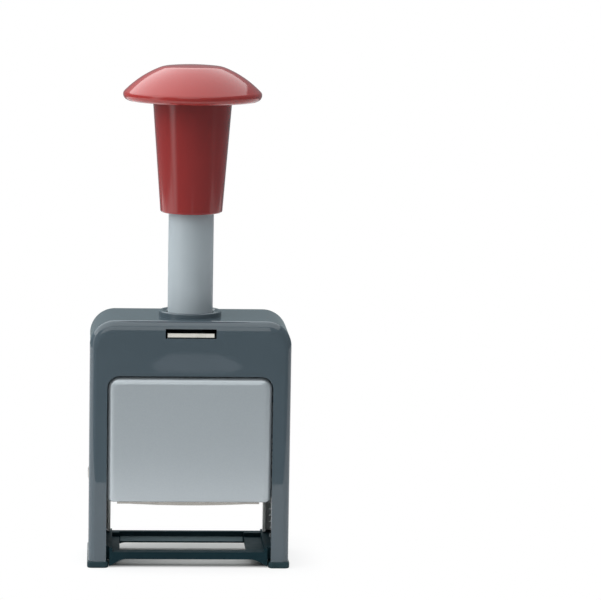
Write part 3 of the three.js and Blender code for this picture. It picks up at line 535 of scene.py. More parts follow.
# %% Cast brass with dried ink
def inked_brass():
    material, tree, shader = new_finish("inked_brass", "b3924f", roughness=0.34, metallic=1.0)
    depth = add(tree, "ShaderNodeAttribute", attribute_name="ink").outputs["Fac"]
    blotch = add(tree, "ShaderNodeMapRange", {
        "Value": grain(tree, size_mm=0.9, detail=4), "From Min": NOISE_LOW, "From Max": NOISE_HIGH,
        "To Min": -0.35, "To Max": 0.35})
    mask = add(tree, "ShaderNodeMath", {0: depth, 1: blotch}, operation="ADD", use_clamp=True)
    tint(tree, shader, mask, "b8985a", "17151f", start=0.0, end=1.0)
    relief(tree, shader, (grain(tree, size_mm=0.25, detail=3), 0.012))
    vary(tree, shader, "Roughness", mask, low=0.30, high=0.62, start=0.0, end=1.0)
    vary(tree, shader, "Metallic", mask, low=1.0, high=0.15, start=0.0, end=1.0)
    return material


# %% [markdown]
# The ink pad is dense wool felt soaked in ink: nearly black violet, matt, with short fibres
# that stand up and a damp sheen. The buffer ring is plain black rubber.

# %% Felt and rubber
def inked_felt():
    material, tree, shader = new_finish("inked_felt", "1e1a2b", roughness=0.78, ior=1.45)
    fibres = grain(tree, size_mm=0.35, stretch=(1, 2.2, 1), detail=6)
    tint(tree, shader, fibres, "15121f", "2a2540")
    relief(tree, shader, (fibres, 0.12))
    shader.inputs["Sheen Weight"].default_value = 0.25
    shader.inputs["Sheen Roughness"].default_value = 0.4
    return material


def black_rubber():
    material, tree, shader = new_finish("black_rubber", "17191b", roughness=0.72, ior=1.5)
    tint(tree, shader, grain(tree, size_mm=2, detail=4), "131517", "1d2022")
    relief(tree, shader, (grain(tree, size_mm=0.25, detail=3), 0.02))
    return material


# %% [markdown]
# Each finish is made once and shared by every piece that wears it. The stretch of a metal says
# which way its lines run: a small number along an axis draws them out along that axis.

# %% Every finish once
finishes = {
    "housing": slate_abs(),
    "base": black_abs("black_abs", "12272d", "172f36", smooth=0.48, coarse=0.58, specular=0.14),
    "shoes": black_abs("black_abs_shoe", "21343a", "273d43", smooth=0.28, coarse=0.36, specular=0.25),
    "panel": silver_abs(),
    "tube": acetal("light_grey_acetal", "aab4b9", "b2bcc1", (1, 1, 0.02)),
    "knob": polished_red("polished_red_plastic", "a32f2c", "ab3330"),
    # The sleeve's deeper red is painted shade: the same red as the cap, coloured darker.
    "sleeve": polished_red("polished_red_sleeve", "8c2928", "942d2b"),
    "nickel": nickel_plate("nickel_plate", (0.04, 1, 1)),
    "steel": bare_steel("stamped_steel", (0.05, 1, 1)),
    "turned": bare_steel("turned_steel", (1, 0.2, 0.2), "85878a", "b4b5b6"),
    "upright": bare_steel("ground_steel_rod", (0.3, 0.3, 1), "8c8e90", "b9babb"),
    "spring": bare_steel("spring_steel", (0.3, 0.3, 0.3), "6f7173", "a9aaab"),
    "acetal": acetal("natural_acetal", "dfe1dd", "eaebe8", (1, 1, 0.05)),
    "wheels": inked_brass(),
    "rubber": black_rubber(),
    "felt": inked_felt(),
}
print("finishes:", ", ".join(material.name for material in finishes.values()))

# %% [markdown]
# ## Tools for making a piece
# The loaded model is made of loose flat triangles. That is right for its physics, and it looks
# like cut paper up close. So each piece is made again over it: sheet and machined parts from a
# merged copy with eased edges, round parts by turning a profile, and the mouldings from rings
# of points. A finished piece sits at the origin, with its place in its mesh.

# %% Making an object and making it plain
def new_object(name, mesh):
    piece = bpy.data.objects.new(name, mesh)
    bpy.context.scene.collection.objects.link(piece)
    return piece


def object_from(name, work, outward=True):
    """Turns a bmesh into an object, with its faces pointing out."""
    if outward:
        bmesh.ops.recalc_face_normals(work, faces=work.faces)
    mesh = bpy.data.meshes.new(name)
    work.to_mesh(mesh)
    work.free()
    return new_object(name, mesh)


def settle(piece):
    """Turns a piece and its modifiers into one plain mesh."""
    depsgraph = bpy.context.evaluated_depsgraph_get()
    mesh = bpy.data.meshes.new_from_object(
        piece.evaluated_get(depsgraph), preserve_all_data_layers=True, depsgraph=depsgraph)
    piece.modifiers.clear()
    piece.data = mesh
    return piece


def turn_outward(piece):
    """Makes every face of a closed mesh point away from its inside."""
    work = bmesh.new()
    work.from_mesh(piece.data)
    bmesh.ops.recalc_face_normals(work, faces=work.faces)
    work.to_mesh(piece.data)
    work.free()
    return piece


# %% Smooth faces, rounded edges and joined pieces
def shade(piece, angle=35):
    """Smooth shading that breaks at edges sharper than angle, weighed by the size of the faces."""
    mesh = piece.data
    mesh.polygons.foreach_set("use_smooth", [True] * len(mesh.polygons))
    mesh.set_sharp_from_angle(angle=math.radians(angle))
    weigh = piece.modifiers.new("weigh", "WEIGHTED_NORMAL")
    weigh.keep_sharp = True
    return settle(piece)


def ease(piece, radius_mm, segments=2, angle=32):
    """Rounds every edge sharper than angle, as a mould, a press or a file leaves it."""
    bevel = piece.modifiers.new("ease", "BEVEL")
    bevel.width = mm(radius_mm)
    bevel.segments = segments
    bevel.limit_method = "ANGLE"
    bevel.angle_limit = math.radians(angle)
    return settle(piece)


def join(*pieces):
    """Several objects as one, under the first one's name."""
    work = bmesh.new()
    for piece in pieces:
        work.from_mesh(piece.data)
    mesh = bpy.data.meshes.new(pieces[0].name)
    work.to_mesh(mesh)
    work.free()
    pieces[0].data = mesh
    for piece in pieces[1:]:
        bpy.data.objects.remove(piece)
    return pieces[0]


# %% From a shape to a piece that rides on its body
def fit(piece, finish, body, *replaced, slot=None):
    """Gives a piece its finish and its body, and hides the nodes that it stands for. slot is not used."""
    piece.data.materials.clear()
    piece.data.materials.append(finishes[finish])
    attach(piece, body)
    if replaced:
        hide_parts(*replaced)
    return piece


# %% [markdown]
# A node's mesh is loose triangles that already point the right way. A copy of it is merged and
# its flat faces joined, so that the bevel finds real edges to round.

# %% A merged copy of a node, with eased edges
MERGE_DISTANCE = 0.002
FLAT_ANGLE = 0.8


def copy_of(node):
    work = bmesh.new()
    work.from_mesh(nodes[node].data)
    bmesh.ops.remove_doubles(work, verts=work.verts, dist=mm(MERGE_DISTANCE))
    bmesh.ops.dissolve_limit(work, angle_limit=math.radians(FLAT_ANGLE), verts=work.verts, edges=work.edges)
    return object_from(node + "_finished", work, outward=False)


def dressed_copy(node, finish, body, radius_mm, slot=None, segments=2):
    piece = ease(copy_of(node), radius_mm, segments)
    shade(piece)
    fit(piece, finish, body, node, slot=slot)
    print(piece.name, len(piece.data.polygons), "faces")
    return piece


# %% [markdown]
# ## Turning with Geometry Nodes
# Tubes, rods, rings, the bush and the knob are all turned shapes: a profile swept about an
# axis. Geometry Nodes can turn any of them with one tree. A grid has one column for each step
# round the axis and one row for each profile point, and every grid point is moved to its
# profile point's radius and height at its column's angle. The seam and the poles are then
# merged, so the solid is closed.

# %% A tree with named inputs, and how a piece runs it
def new_tree(name, sockets):
    """A Geometry Nodes tree. sockets lists (name, socket type, value) after the geometry."""
    tree = bpy.data.node_groups.new(name, "GeometryNodeTree")
    tree.is_modifier = True
    tree.interface.new_socket("Geometry", in_out="INPUT", socket_type="NodeSocketGeometry")
    for label, kind, value in sockets:
        socket = tree.interface.new_socket(label, in_out="INPUT", socket_type=kind)
        if value is not None:
            socket.default_value = value
    tree.interface.new_socket("Geometry", in_out="OUTPUT", socket_type="NodeSocketGeometry")
    return tree


def run_tree(piece, tree, **values):
    """Runs a tree on a piece, with inputs named as its sockets are, and keeps the result."""
    modifier = piece.modifiers.new(tree.name, "NODES")
    modifier.node_group = tree
    for item in tree.interface.items_tree:
        if item.in_out == "INPUT" and item.name.replace(" ", "_") in values:
            modifier[item.identifier] = values[item.name.replace(" ", "_")]
    return settle(piece)


# %% The turning tree
POLE_MERGE = 0.001
# Steps round the axis: of a wide piece that shows, a ring, a pin, a screw and a thin rod.
WIDE_STEPS, RING_STEPS, PIN_STEPS, SCREW_STEPS, ROD_STEPS = 160, 96, 64, 48, 40


def about_axis(tree, radius, angle, height):
    """The point at a radius and an angle about the Z axis, and at a height."""
    cosine = add(tree, "ShaderNodeMath", {0: angle}, operation="COSINE")
    sine = add(tree, "ShaderNodeMath", {0: angle}, operation="SINE")
    return add(tree, "ShaderNodeCombineXYZ", {
        0: add(tree, "ShaderNodeMath", {0: radius, 1: cosine}, operation="MULTIPLY"),
        1: add(tree, "ShaderNodeMath", {0: radius, 1: sine}, operation="MULTIPLY"), 2: height})


def finish_tree(tree, geometry, finish):
    """Ends a tree: real geometry in place of instances, and the material on it."""
    real = add(tree, "GeometryNodeRealizeInstances", {"Geometry": geometry})
    dressed = add(tree, "GeometryNodeSetMaterial", {"Geometry": real, "Material": finish})
    add(tree, "NodeGroupOutput", {"Geometry": dressed})
    return tree


def build_turning_tree():
    tree = new_tree("turn_profile", [
        ("Steps", "NodeSocketInt", RING_STEPS), ("Finish", "NodeSocketMaterial", None)])
    given = add(tree, "NodeGroupInput").outputs
    steps = given["Steps"]
    rows = add(tree, "GeometryNodeAttributeDomainSize", {
        "Geometry": given["Geometry"]}).outputs["Point Count"]
    columns = add(tree, "ShaderNodeMath", {0: steps, 1: 1}, operation="ADD")
    grid = add(tree, "GeometryNodeMeshGrid", {"Vertices X": columns, "Vertices Y": rows})
    index = add(tree, "GeometryNodeInputIndex")
    filled = add(tree, "ShaderNodeMath", {0: index, 1: rows}, operation="DIVIDE")
    column = add(tree, "ShaderNodeMath", {0: filled}, operation="FLOOR")
    passed = add(tree, "ShaderNodeMath", {0: column, 1: rows}, operation="MULTIPLY")
    row = add(tree, "ShaderNodeMath", {0: index, 1: passed}, operation="SUBTRACT")
    share = add(tree, "ShaderNodeMath", {0: column, 1: steps}, operation="DIVIDE")
    angle = add(tree, "ShaderNodeMath", {0: share, 1: math.tau}, operation="MULTIPLY")
    point = add(tree, "GeometryNodeSampleIndex", {
        "Geometry": given["Geometry"], "Value": add(tree, "GeometryNodeInputPosition"), "Index": row,
    }, data_type="FLOAT_VECTOR")
    place = add(tree, "ShaderNodeSeparateXYZ", {0: point}).outputs
    around = about_axis(tree, place["X"], angle, place["Z"])
    moved = add(tree, "GeometryNodeSetPosition", {"Geometry": grid, "Position": around})
    closed = add(tree, "GeometryNodeMergeByDistance", {"Geometry": moved, "Distance": mm(POLE_MERGE)})
    return finish_tree(tree, closed, given["Finish"])


turning_tree = build_turning_tree()
print("turning tree:", len(turning_tree.nodes), "nodes")

# %% [markdown]
# A profile is written as a few corners with the radius of the round at each, which is how a
# drawing gives it. The points of every round are worked out from that, and the tree turns them.

# %% Rounds in a profile
NO_SWEEP = 1e-6
# Steps of a round on a plain edge, on an edge that shows and on a tip.
ROUND_STEPS, FINE_ROUND_STEPS, TIP_ROUND_STEPS = 4, 5, 2


def corner(points, index, radius, steps):
    """Points of a round of the given radius at one corner of a profile."""
    here = Vector(points[index])
    before = (Vector(points[index - 1]) - here).normalized()
    after = (Vector(points[(index + 1) % len(points)]) - here).normalized()
    half = before.angle(after) / 2
    reach = radius / math.tan(half)
    centre = here + (before + after).normalized() * (radius / math.sin(half))
    start = here + before * reach - centre
    end = here + after * reach - centre
    sweep = start.angle(end)
    if sweep < NO_SWEEP:
        return [tuple(here)]
    rounded = []
    for step in range(steps + 1):
        share = step / steps
        mixed = (start * math.sin((1 - share) * sweep) + end * math.sin(share * sweep)) / math.sin(sweep)
        rounded.append(tuple(centre + mixed))
    return rounded


def rounded_profile(points, steps=ROUND_STEPS):
    """A profile from (radius, height, round) in millimetres; a round of 0 leaves a sharp corner."""
    flat = [(x, z) for x, z, _ in points]
    full = []
    for index, (x, z, round_mm) in enumerate(points):
        full += corner(flat, index, round_mm, steps) if round_mm else [(x, z)]
    return full


# %% Turned pieces
def turned(name, profile, steps=RING_STEPS, closed=True):
    """Turns (radius, height) points in millimetres about the Z axis."""
    work = bmesh.new()
    corners = list(profile) + ([profile[0]] if closed else [])
    for x, z in corners:
        work.verts.new(mm(x, 0, z))
    mesh = bpy.data.meshes.new(name)
    work.to_mesh(mesh)
    work.free()
    piece = run_tree(new_object(name, mesh), turning_tree, Steps=steps)
    work = bmesh.new()
    work.from_mesh(piece.data)
    bmesh.ops.dissolve_degenerate(work, edges=work.edges, dist=mm(POLE_MERGE / 2))
    work.to_mesh(piece.data)
    work.free()
    return turn_outward(piece)


def stand_at(piece, x_mm, y_mm, z_mm=0.0, tilt=None):
    """Turns a mesh about the origin, then moves it; the object itself stays where it is."""
    if tilt:
        piece.data.transform(tilt)
    piece.data.transform(Matrix.Translation(mm(x_mm, y_mm, z_mm)))
    return piece


# %% [markdown]
# ## Knob cap
# The cap is a mushroom: an almost flat crown, a bend, and a flank that falls in one long arc to a
# small rounded rim. It is hollow below, so that the wall cools evenly in the mould. Its profile
# is walked as arcs, each given by its radius and by the angle below level that it ends at. The
# flank's radius isn't given: it is the one that takes the walk out to the rim's width. The inside
# is the same walk moved in by the wall.

# %% Cap sizes and a walk along arcs
CAP_WALL = 2.2
CROWN_RADIUS, CROWN_ANGLE, CROWN_STEPS = 88, 6, 12
BEND_RADIUS, BEND_ANGLE, BEND_STEPS = 9, 22, 12
FLANK_ANGLE, FLANK_STEPS = 46, 16
RIM_RADIUS, RIM_ANGLE, RIM_STEPS = 1.6, 90, 10
RIM_UNDER_RADIUS, RIM_UNDER_ANGLE = 2.1, 165
CROWN_DROP, RIM_INSET = 0.35, 0.03
LIP_LAND, LIP_LAND_DROP, LIP_INSIDE_RISE = 0.3, 0.12, 0.2
SOCKET_OUTER, SOCKET_INNER, SOCKET_GRIP, SOCKET_OVERLAP = 10.2, 9.0, 2.3, 0.6


def walk_arc(path, radius, end_angle, steps):
    """Carries on from the path's last (radius, height, angle) along an arc."""
    x, z, start_angle = path[-1]
    first = math.radians(start_angle)
    for step in range(1, steps + 1):
        angle = start_angle + (end_angle - start_angle) * step / steps
        turn = math.radians(angle)
        path.append((x + radius * (math.sin(turn) - math.sin(first)),
                     z - radius * (math.cos(first) - math.cos(turn)), angle))
    return path


def moved_in(path, wall):
    """The same walk, a wall's thickness further in."""
    return [(x - wall * math.sin(math.radians(a)), z - wall * math.cos(math.radians(a))) for x, z, a in path]


# %% Cap
def cap_profile(rim_radius, crown):
    path = walk_arc([(0, crown, 0)], CROWN_RADIUS, CROWN_ANGLE, CROWN_STEPS)
    walk_arc(path, BEND_RADIUS, BEND_ANGLE, BEND_STEPS)
    flank_sine = math.sin(math.radians(FLANK_ANGLE))
    flank_run = rim_radius - RIM_INSET - RIM_RADIUS * (1 - flank_sine) - path[-1][0]
    flank_radius = flank_run / (flank_sine - math.sin(math.radians(BEND_ANGLE)))
    walk_arc(path, flank_radius, FLANK_ANGLE, FLANK_STEPS)
    inner = moved_in(path, CAP_WALL)
    walk_arc(path, RIM_RADIUS, RIM_ANGLE, RIM_STEPS)
    walk_arc(path, RIM_UNDER_RADIUS, RIM_UNDER_ANGLE, RIM_STEPS)
    lip, inside = path[-1][1], inner[-1][0]
    profile = [(x, z) for x, z, _ in path]
    profile += [(inside + LIP_LAND, lip - LIP_LAND_DROP), (inside, lip + LIP_INSIDE_RISE)]
    profile += [(max(0, x), z) for x, z in inner[::-1]]
    profile[-1] = (0, crown - CAP_WALL)
    return profile


def make_cap():
    high = box_mm("knob_cap")[1]
    profile = cap_profile(high.x, high.z - CROWN_DROP)
    piece = turned("knob_cap_moulding", profile, WIDE_STEPS, closed=False)
    socket_low = box_mm("knob_sleeve")[1].z - SOCKET_GRIP
    socket_high = high.z - CAP_WALL - SOCKET_OVERLAP
    socket = turned("knob_cap_socket", [
        (SOCKET_OUTER, socket_low), (SOCKET_OUTER, socket_high),
        (SOCKET_INNER, socket_high), (SOCKET_INNER, socket_low)])
    join(piece, socket)
    shade(piece, angle=40)
    return fit(piece, "knob", "plunger", "knob_cap")


cap = make_cap()
print(cap.name, len(cap.data.polygons), "faces, lip bottom at",
      round(min(v.co.z for v in cap.data.vertices) / MM, 2), "mm")

# %% [markdown]
# ## Sleeve and tube
# Under the cap sits a tapered sleeve, wide at the top so that the fingers can hook under the
# rim. It has a cup at the top for the cap's socket, closed below by a disc that the plunger rod
# passes through. Its mouth has a small round where it meets the grey tube. Both are turned
# shapes, so the same tree makes them from profiles that take their sizes from the frame.

# %% Sleeve
TUBE_CLEARANCE = 0.3
# How wide the sleeve's foot is, as a share of its top.
SLEEVE_FOOT_SHARE = 10.8 / 13.9
CUP_WALL, CUP_DEPTH, DISC_THICKNESS, DISC_HOLE = 3.4, 2.6, 2.7, 2.8
MOUTH_ROUND, FOOT_ROUND, SLEEVE_TOP_ROUND = 0.25, 0.7, 0.3


def make_sleeve():
    low, high = box_mm("knob_sleeve")
    bore = box_mm("plunger_tube")[1].x + TUBE_CLEARANCE
    cup = high.x - CUP_WALL
    disc_top = high.z - CUP_DEPTH
    disc_bottom = disc_top - DISC_THICKNESS
    piece = turned("knob_sleeve_moulding", rounded_profile([
        (bore, low.z, MOUTH_ROUND), (high.x * SLEEVE_FOOT_SHARE, low.z, FOOT_ROUND),
        (high.x, high.z, SLEEVE_TOP_ROUND), (cup, high.z, SLEEVE_TOP_ROUND), (cup, disc_top, 0),
        (DISC_HOLE, disc_top, 0), (DISC_HOLE, disc_bottom, 0), (bore, disc_bottom, 0),
    ], FINE_ROUND_STEPS), WIDE_STEPS)
    shade(piece, angle=40)
    return fit(piece, "sleeve", "plunger", "knob_sleeve", slot="knob")


sleeve = make_sleeve()
print(sleeve.name, len(sleeve.data.polygons), "faces")

# %% Tube
TUBE_BORE, TUBE_ROUND = 6.6, 0.3


def make_tube():
    low, high = box_mm("plunger_tube")
    piece = turned("plunger_tube_drawn", rounded_profile([
        (TUBE_BORE, low.z, 0), (high.x, low.z, TUBE_ROUND), (high.x, high.z, TUBE_ROUND),
        (TUBE_BORE, high.z, 0)]), WIDE_STEPS)
    shade(piece, angle=40)
    return fit(piece, "tube", "plunger", "plunger_tube")


tube = make_tube()
print(tube.name, len(tube.data.polygons), "faces")

# %% [markdown]
# ## Turned metal parts
# The guide rods, the wheel shaft, the pins and the two stop rings are plain lathe work. What makes
# each look machined is the small chamfer or round at every end, so the profiles state those
# rather than leaving knife edges.

# %% Profiles of rods and rings
ALONG_X = Matrix.Rotation(math.pi / 2, 4, "Y")
TURN_ROUND = Matrix.Rotation(math.pi, 4, "Z")
END_ROUND = 0.25
RING_CLEARANCE = 0.15
TIP_SHARE, TIP_LENGTH, TIP_ROUND, STEP_ROUND = 0.86, 0.35, 0.12, 0.1
COLLAR_ROUND, BUFFER_ROUND = 0.2, 0.4


def rod_profile(radius, low, high):
    return rounded_profile([(0, low, 0), (radius, low, END_ROUND), (radius, high, END_ROUND), (0, high, 0)])


def ring_profile(inner, outer, low, high, round_mm):
    return rounded_profile([
        (inner, low, round_mm), (outer, low, round_mm), (outer, high, round_mm), (inner, high, round_mm)])


# %% Guide rods, rings and shafts
def upright_rod(node):
    low, high = box_mm(node)
    centre = (low + high) / 2
    piece = turned(node + "_turned", rod_profile(high.x - centre.x, low.z, high.z), ROD_STEPS, closed=False)
    stand_at(piece, centre.x, centre.y)
    shade(piece, angle=30)
    return fit(piece, "upright", "housing", node, slot="steel")


def ring_on_tube(node, finish, round_mm):
    low, high = box_mm(node)
    inner = box_mm("plunger_tube")[1].x + RING_CLEARANCE
    piece = turned(node + "_turned", ring_profile(inner, high.x, low.z, high.z, round_mm))
    shade(piece, angle=40)
    return fit(piece, finish, "plunger", node)


def level_rod(node, body):
    """A turned steel bar from left to right, with a short chamfered tip at each end."""
    low, high = box_mm(node)
    centre = (low + high) / 2
    half = (high.x - low.x) / 2
    radius = (high.z - low.z) / 2
    piece = turned(node + "_turned", rounded_profile([
        (0, -half, 0), (radius * TIP_SHARE, -half, TIP_ROUND), (radius, -half + TIP_LENGTH, STEP_ROUND),
        (radius, half - TIP_LENGTH, STEP_ROUND), (radius * TIP_SHARE, half, TIP_ROUND), (0, half, 0),
    ], TIP_ROUND_STEPS), ROD_STEPS, closed=False)
    stand_at(piece, centre.x, centre.y, centre.z, ALONG_X)
    shade(piece, angle=30)
    return fit(piece, "turned", body, node, slot="steel")


turned_parts = [upright_rod("guide_rod_" + side) for side in ("right", "left")]
turned_parts.append(ring_on_tube("stop_collar", "steel", COLLAR_ROUND))
turned_parts.append(ring_on_tube("stop_buffer", "rubber", BUFFER_ROUND))
turned_parts.append(level_rod("wheel_shaft", "plunger"))
turned_parts.append(level_rod("rocker_pin", "rocker"))
print("turned parts:", ", ".join(part.name for part in turned_parts))

# %% [markdown]
# The plunger rod hangs from the knob and carries the bridge on its head. Each pad pivot is a
# shouldered pin that is pressed in from outside, and its low domed head is the round spot on the
# side of the leg.

# %% Plunger rod and pad pivots
ROD_STEM, BRIDGE_THICKNESS = 2.5, 2
ROD_HEAD_ROUND, ROD_SEAT_ROUND, ROD_TOP_ROUND = 0.3, 0.1, 0.5
PIVOT_PIN, PIVOT_PIN_ROUND = 1.5, 0.2
PIVOT_HEAD_THICKNESS, PIVOT_SEAT_ROUND = 1.1, 0.1
PIVOT_SHOULDER, PIVOT_SHOULDER_ROUND = 0.45, 0.3
PIVOT_DOME_SHARE, PIVOT_DOME_ROUND = 0.55, 0.9


def plunger_rod():
    low, high = box_mm("plunger_rod")
    head_top = box_mm("carriage_frame")[1].z - BRIDGE_THICKNESS
    piece = turned("plunger_rod_turned", rounded_profile([
        (0, low.z, 0), (high.x, low.z, ROD_HEAD_ROUND), (high.x, head_top, ROD_SEAT_ROUND),
        (ROD_STEM, head_top, 0), (ROD_STEM, high.z, ROD_TOP_ROUND), (0, high.z, 0),
    ]), PIN_STEPS, closed=False)
    shade(piece, angle=30)
    return fit(piece, "turned", "plunger", "plunger_rod", slot="steel")


def pad_pivot(side):
    """A shouldered pin pressed in from outside, with a low domed head."""
    node = "pad_pivot_" + side
    low, high = box_mm(node)
    centre = (low + high) / 2
    outer, inner = max(abs(low.x), abs(high.x)), min(abs(low.x), abs(high.x))
    head, seat = (high.z - low.z) / 2, outer - PIVOT_HEAD_THICKNESS
    piece = turned(node + "_turned", rounded_profile([
        (0, inner, 0), (PIVOT_PIN, inner, PIVOT_PIN_ROUND), (PIVOT_PIN, seat, 0),
        (head, seat, PIVOT_SEAT_ROUND), (head, outer - PIVOT_SHOULDER, PIVOT_SHOULDER_ROUND),
        (head * PIVOT_DOME_SHARE, outer, PIVOT_DOME_ROUND), (0, outer, 0),
    ], FINE_ROUND_STEPS), PIN_STEPS, closed=False)
    tilt = ALONG_X if side == "right" else TURN_ROUND @ ALONG_X
    stand_at(piece, 0, centre.y, centre.z, tilt)
    shade(piece, angle=30)
    return fit(piece, "nickel", "housing", node)


pins = [plunger_rod(), pad_pivot("right"), pad_pivot("left")]
print("plunger rod and pivots:", ", ".join(pin.name for pin in pins))

# %% [markdown]
# ## Guide bush
# The bush guides the tube and shows as a low round collar on top of the housing, with a raised
# outer rim. A notch low down at the front leaves room for the lock slide when it is pushed
# in, so a plain block cuts that from the turned shape.

# %% Plain blocks and cuts
def box_object(name, low, high):
    """A plain block in millimetres, used only as a cutter or to be joined to a body."""
    work = bmesh.new()
    bmesh.ops.create_cube(work, size=1)
    size = mm(*high) - mm(*low)
    for vertex in work.verts:
        vertex.co = Vector([c * s for c, s in zip(vertex.co, size)]) + (mm(*low) + mm(*high)) / 2
    return object_from(name, work)


def carve(piece, tool, operation="DIFFERENCE"):
    """Cuts a tool from a piece or joins it on, then removes the tool."""
    modifier = piece.modifiers.new("carve", "BOOLEAN")
    modifier.object = tool
    modifier.operation = operation
    modifier.solver = "EXACT"
    settle(piece)
    bpy.data.objects.remove(tool)
    return piece


# %% Bush
BUSH_WIDER, BUSH_HIGHER = 0.35, 0.35
BUSH_WALL, BUSH_RIM, BUSH_RECESS = 1.35, 1.3, 0.5
BUSH_ROUNDS = {"foot": 0.2, "skirt": 0.3, "top": 0.5, "rim": 0.3, "recess": 0.2, "mouth": 0.15}
SLIDE_CLEARANCE, SLIDE_TRAVEL = 0.3, 2.2
BEYOND = 20


def make_bush():
    low, high = box_mm("top_bush")
    housing_top = box_mm("rear_shell")[1].z
    bore = box_mm("plunger_tube")[1].x + TUBE_CLEARANCE
    outer, rounds = bore + BUSH_WALL, BUSH_ROUNDS
    high += Vector((BUSH_WIDER, BUSH_WIDER, BUSH_HIGHER))
    rim, floor_z = high.x - BUSH_RIM, high.z - BUSH_RECESS
    piece = turned("top_bush_moulding", rounded_profile([
        (bore, low.z, rounds["foot"]), (outer, low.z, rounds["skirt"]), (outer, housing_top, 0),
        (high.x, housing_top, 0), (high.x, high.z, rounds["top"]), (rim, high.z, rounds["rim"]),
        (rim - BUSH_RECESS, floor_z, rounds["recess"]), (bore, floor_z, rounds["mouth"]),
    ], FINE_ROUND_STEPS), WIDE_STEPS)
    slide_low, slide_high = box_mm("lock_slide")
    side, reach = slide_high.x + SLIDE_CLEARANCE, slide_high.y + SLIDE_TRAVEL + SLIDE_CLEARANCE
    carve(piece, box_object("notch", (-side, -BEYOND, slide_low.z - SLIDE_CLEARANCE),
                            (side, reach, slide_high.z + SLIDE_CLEARANCE)))
    shade(piece, angle=40)
    return fit(piece, "housing", "housing", "top_bush")


bush = make_bush()
print(bush.name, len(bush.data.polygons), "faces")

# %% [markdown]
# ## Mouldings
# The housing is moulded as two shells that meet along a line near the front, and the panel is
# a shallow tray of its own. Each starts as a stack of outlines along the depth, every one set
# in a little more than the last where the edge is rounded. Plain blocks and cylinders then cut
# the hollow, the windows and the holes, and every edge left sharp is eased.

# %% Outlines and stacks
ARC_STEPS, FOOT_STEPS = 16, 8


def arc(x, z, radius, start, end, steps=ARC_STEPS):
    """Points of an arc; angles in degrees."""
    points = []
    for step in range(steps + 1):
        angle = math.radians(start + (end - start) * step / steps)
        points.append((x + radius * math.cos(angle), z + radius * math.sin(angle)))
    return points


def arch_outline(side, bottom, top, upper, lower=0.0):
    """An upright rectangle about x = 0, rounded at its upper corners and at its lower ones."""
    points = arc(side - upper, top - upper, upper, 0, 90) + arc(-side + upper, top - upper, upper, 90, 180)
    if lower:
        points += arc(-side + lower, bottom + lower, lower, 180, 270, FOOT_STEPS)
        points += arc(side - lower, bottom + lower, lower, 270, 360, FOOT_STEPS)
    else:
        points += [(-side, bottom), (side, bottom)]
    return points


def stack(name, rings):
    """Joins rings of points, all with the same count, and closes both ends."""
    work = bmesh.new()
    rows = [[work.verts.new(mm(*point)) for point in ring] for ring in rings]
    count = len(rows[0])
    for row, following in zip(rows, rows[1:]):
        for i in range(count):
            work.faces.new((row[i], row[(i + 1) % count], following[(i + 1) % count], following[i]))
    work.faces.new(rows[0][::-1])
    work.faces.new(rows[-1])
    return object_from(name, work)


def prism_y(name, outline, front, rear):
    """A body with one outline of (x, z) points from front to rear."""
    return stack(name, [[(x, y, z) for x, z in outline] for y in (front, rear)])


# %% Round cutters and twins
HOLE_STEPS = 48


def rod_tool(radius, start, end, centre, axis, steps=HOLE_STEPS):
    """A cylinder along an axis. centre gives the other two coordinates in order."""
    points = arc(centre[0], centre[1], radius, 0, 360, steps)[:-1]
    order = {"X": lambda a, b, c: (c, a, b), "Y": lambda a, b, c: (a, c, b), "Z": lambda a, b, c: (a, b, c)}
    return stack("tool", [[order[axis](a, b, c) for a, b in points] for c in (start, end)])


def mirrored(tool):
    """The same tool on the other side."""
    twin = new_object(tool.name + "_twin", tool.data.copy())
    twin.data.transform(Matrix.Scale(-1, 4, (1, 0, 0)))
    twin.data.flip_normals()
    return twin


def both_sides(piece, tool, operation="DIFFERENCE"):
    """Cuts or joins a tool on the right and its twin on the left."""
    twin = mirrored(tool)
    return carve(carve(piece, tool, operation), twin, operation)


# %% Rounded edges of a stack, and cleaning after a cut
CUT_MERGE, CUT_FLAT_ANGLE = 0.01, 0.5


def round_over(depth, radius):
    """How far an outline is set in at a depth below a face whose edge is rounded."""
    if depth >= radius:
        return 0.0
    return radius - math.sqrt(max(0.0, radius ** 2 - (radius - depth) ** 2))


def round_depths(radius, steps=ARC_STEPS):
    """Depths that split a round into equal turns."""
    return [radius * (1 - math.cos(math.pi / 2 * step / steps)) for step in range(steps + 1)]


def clean(piece):
    """Merges corners that a cut left almost on one another and joins faces that lie flat."""
    work = bmesh.new()
    work.from_mesh(piece.data)
    bmesh.ops.remove_doubles(work, verts=work.verts, dist=mm(CUT_MERGE))
    bmesh.ops.dissolve_limit(
        work, angle_limit=math.radians(CUT_FLAT_ANGLE), verts=work.verts, edges=work.edges)
    bmesh.ops.delete(work, geom=[edge for edge in work.edges if not edge.link_faces], context="EDGES")
    work.to_mesh(piece.data)
    work.free()
    return piece


# %% [markdown]
# The front shell has a broad round along its front edge and the rear shell a smaller one. The
# two keep a hair's breadth apart, as moulded halves do, and their eased edges turn that into
# the fine dark line that runs over the top and down both sides.

# %% Sizes shared by both shells
SHELL_WALL = 1.8
SHELL_CORNER = 8.8
PARTING_GAP = 0.22
SHELL_EDGE = 0.2
LEG_WIDTH = 6.5
WINDOW_CORNER = 4.3

shell_low, shell_high = box_mm("rear_shell")
HALF_WIDTH, SHELL_TOP, SHELL_FOOT = shell_high.x, shell_high.z, shell_low.z
REAR_Y, PARTING_Y = shell_high.y, shell_low.y
FRONT_Y = box_mm("front_shell")[0].y
LEG_INNER = HALF_WIDTH - LEG_WIDTH


def housing_outline(inset, bottom, top_share=1.0):
    """The arch of the housing, set in by so much at the sides and by a share of it at the top."""
    return arch_outline(HALF_WIDTH - inset, bottom, SHELL_TOP - inset * top_share, SHELL_CORNER - inset)


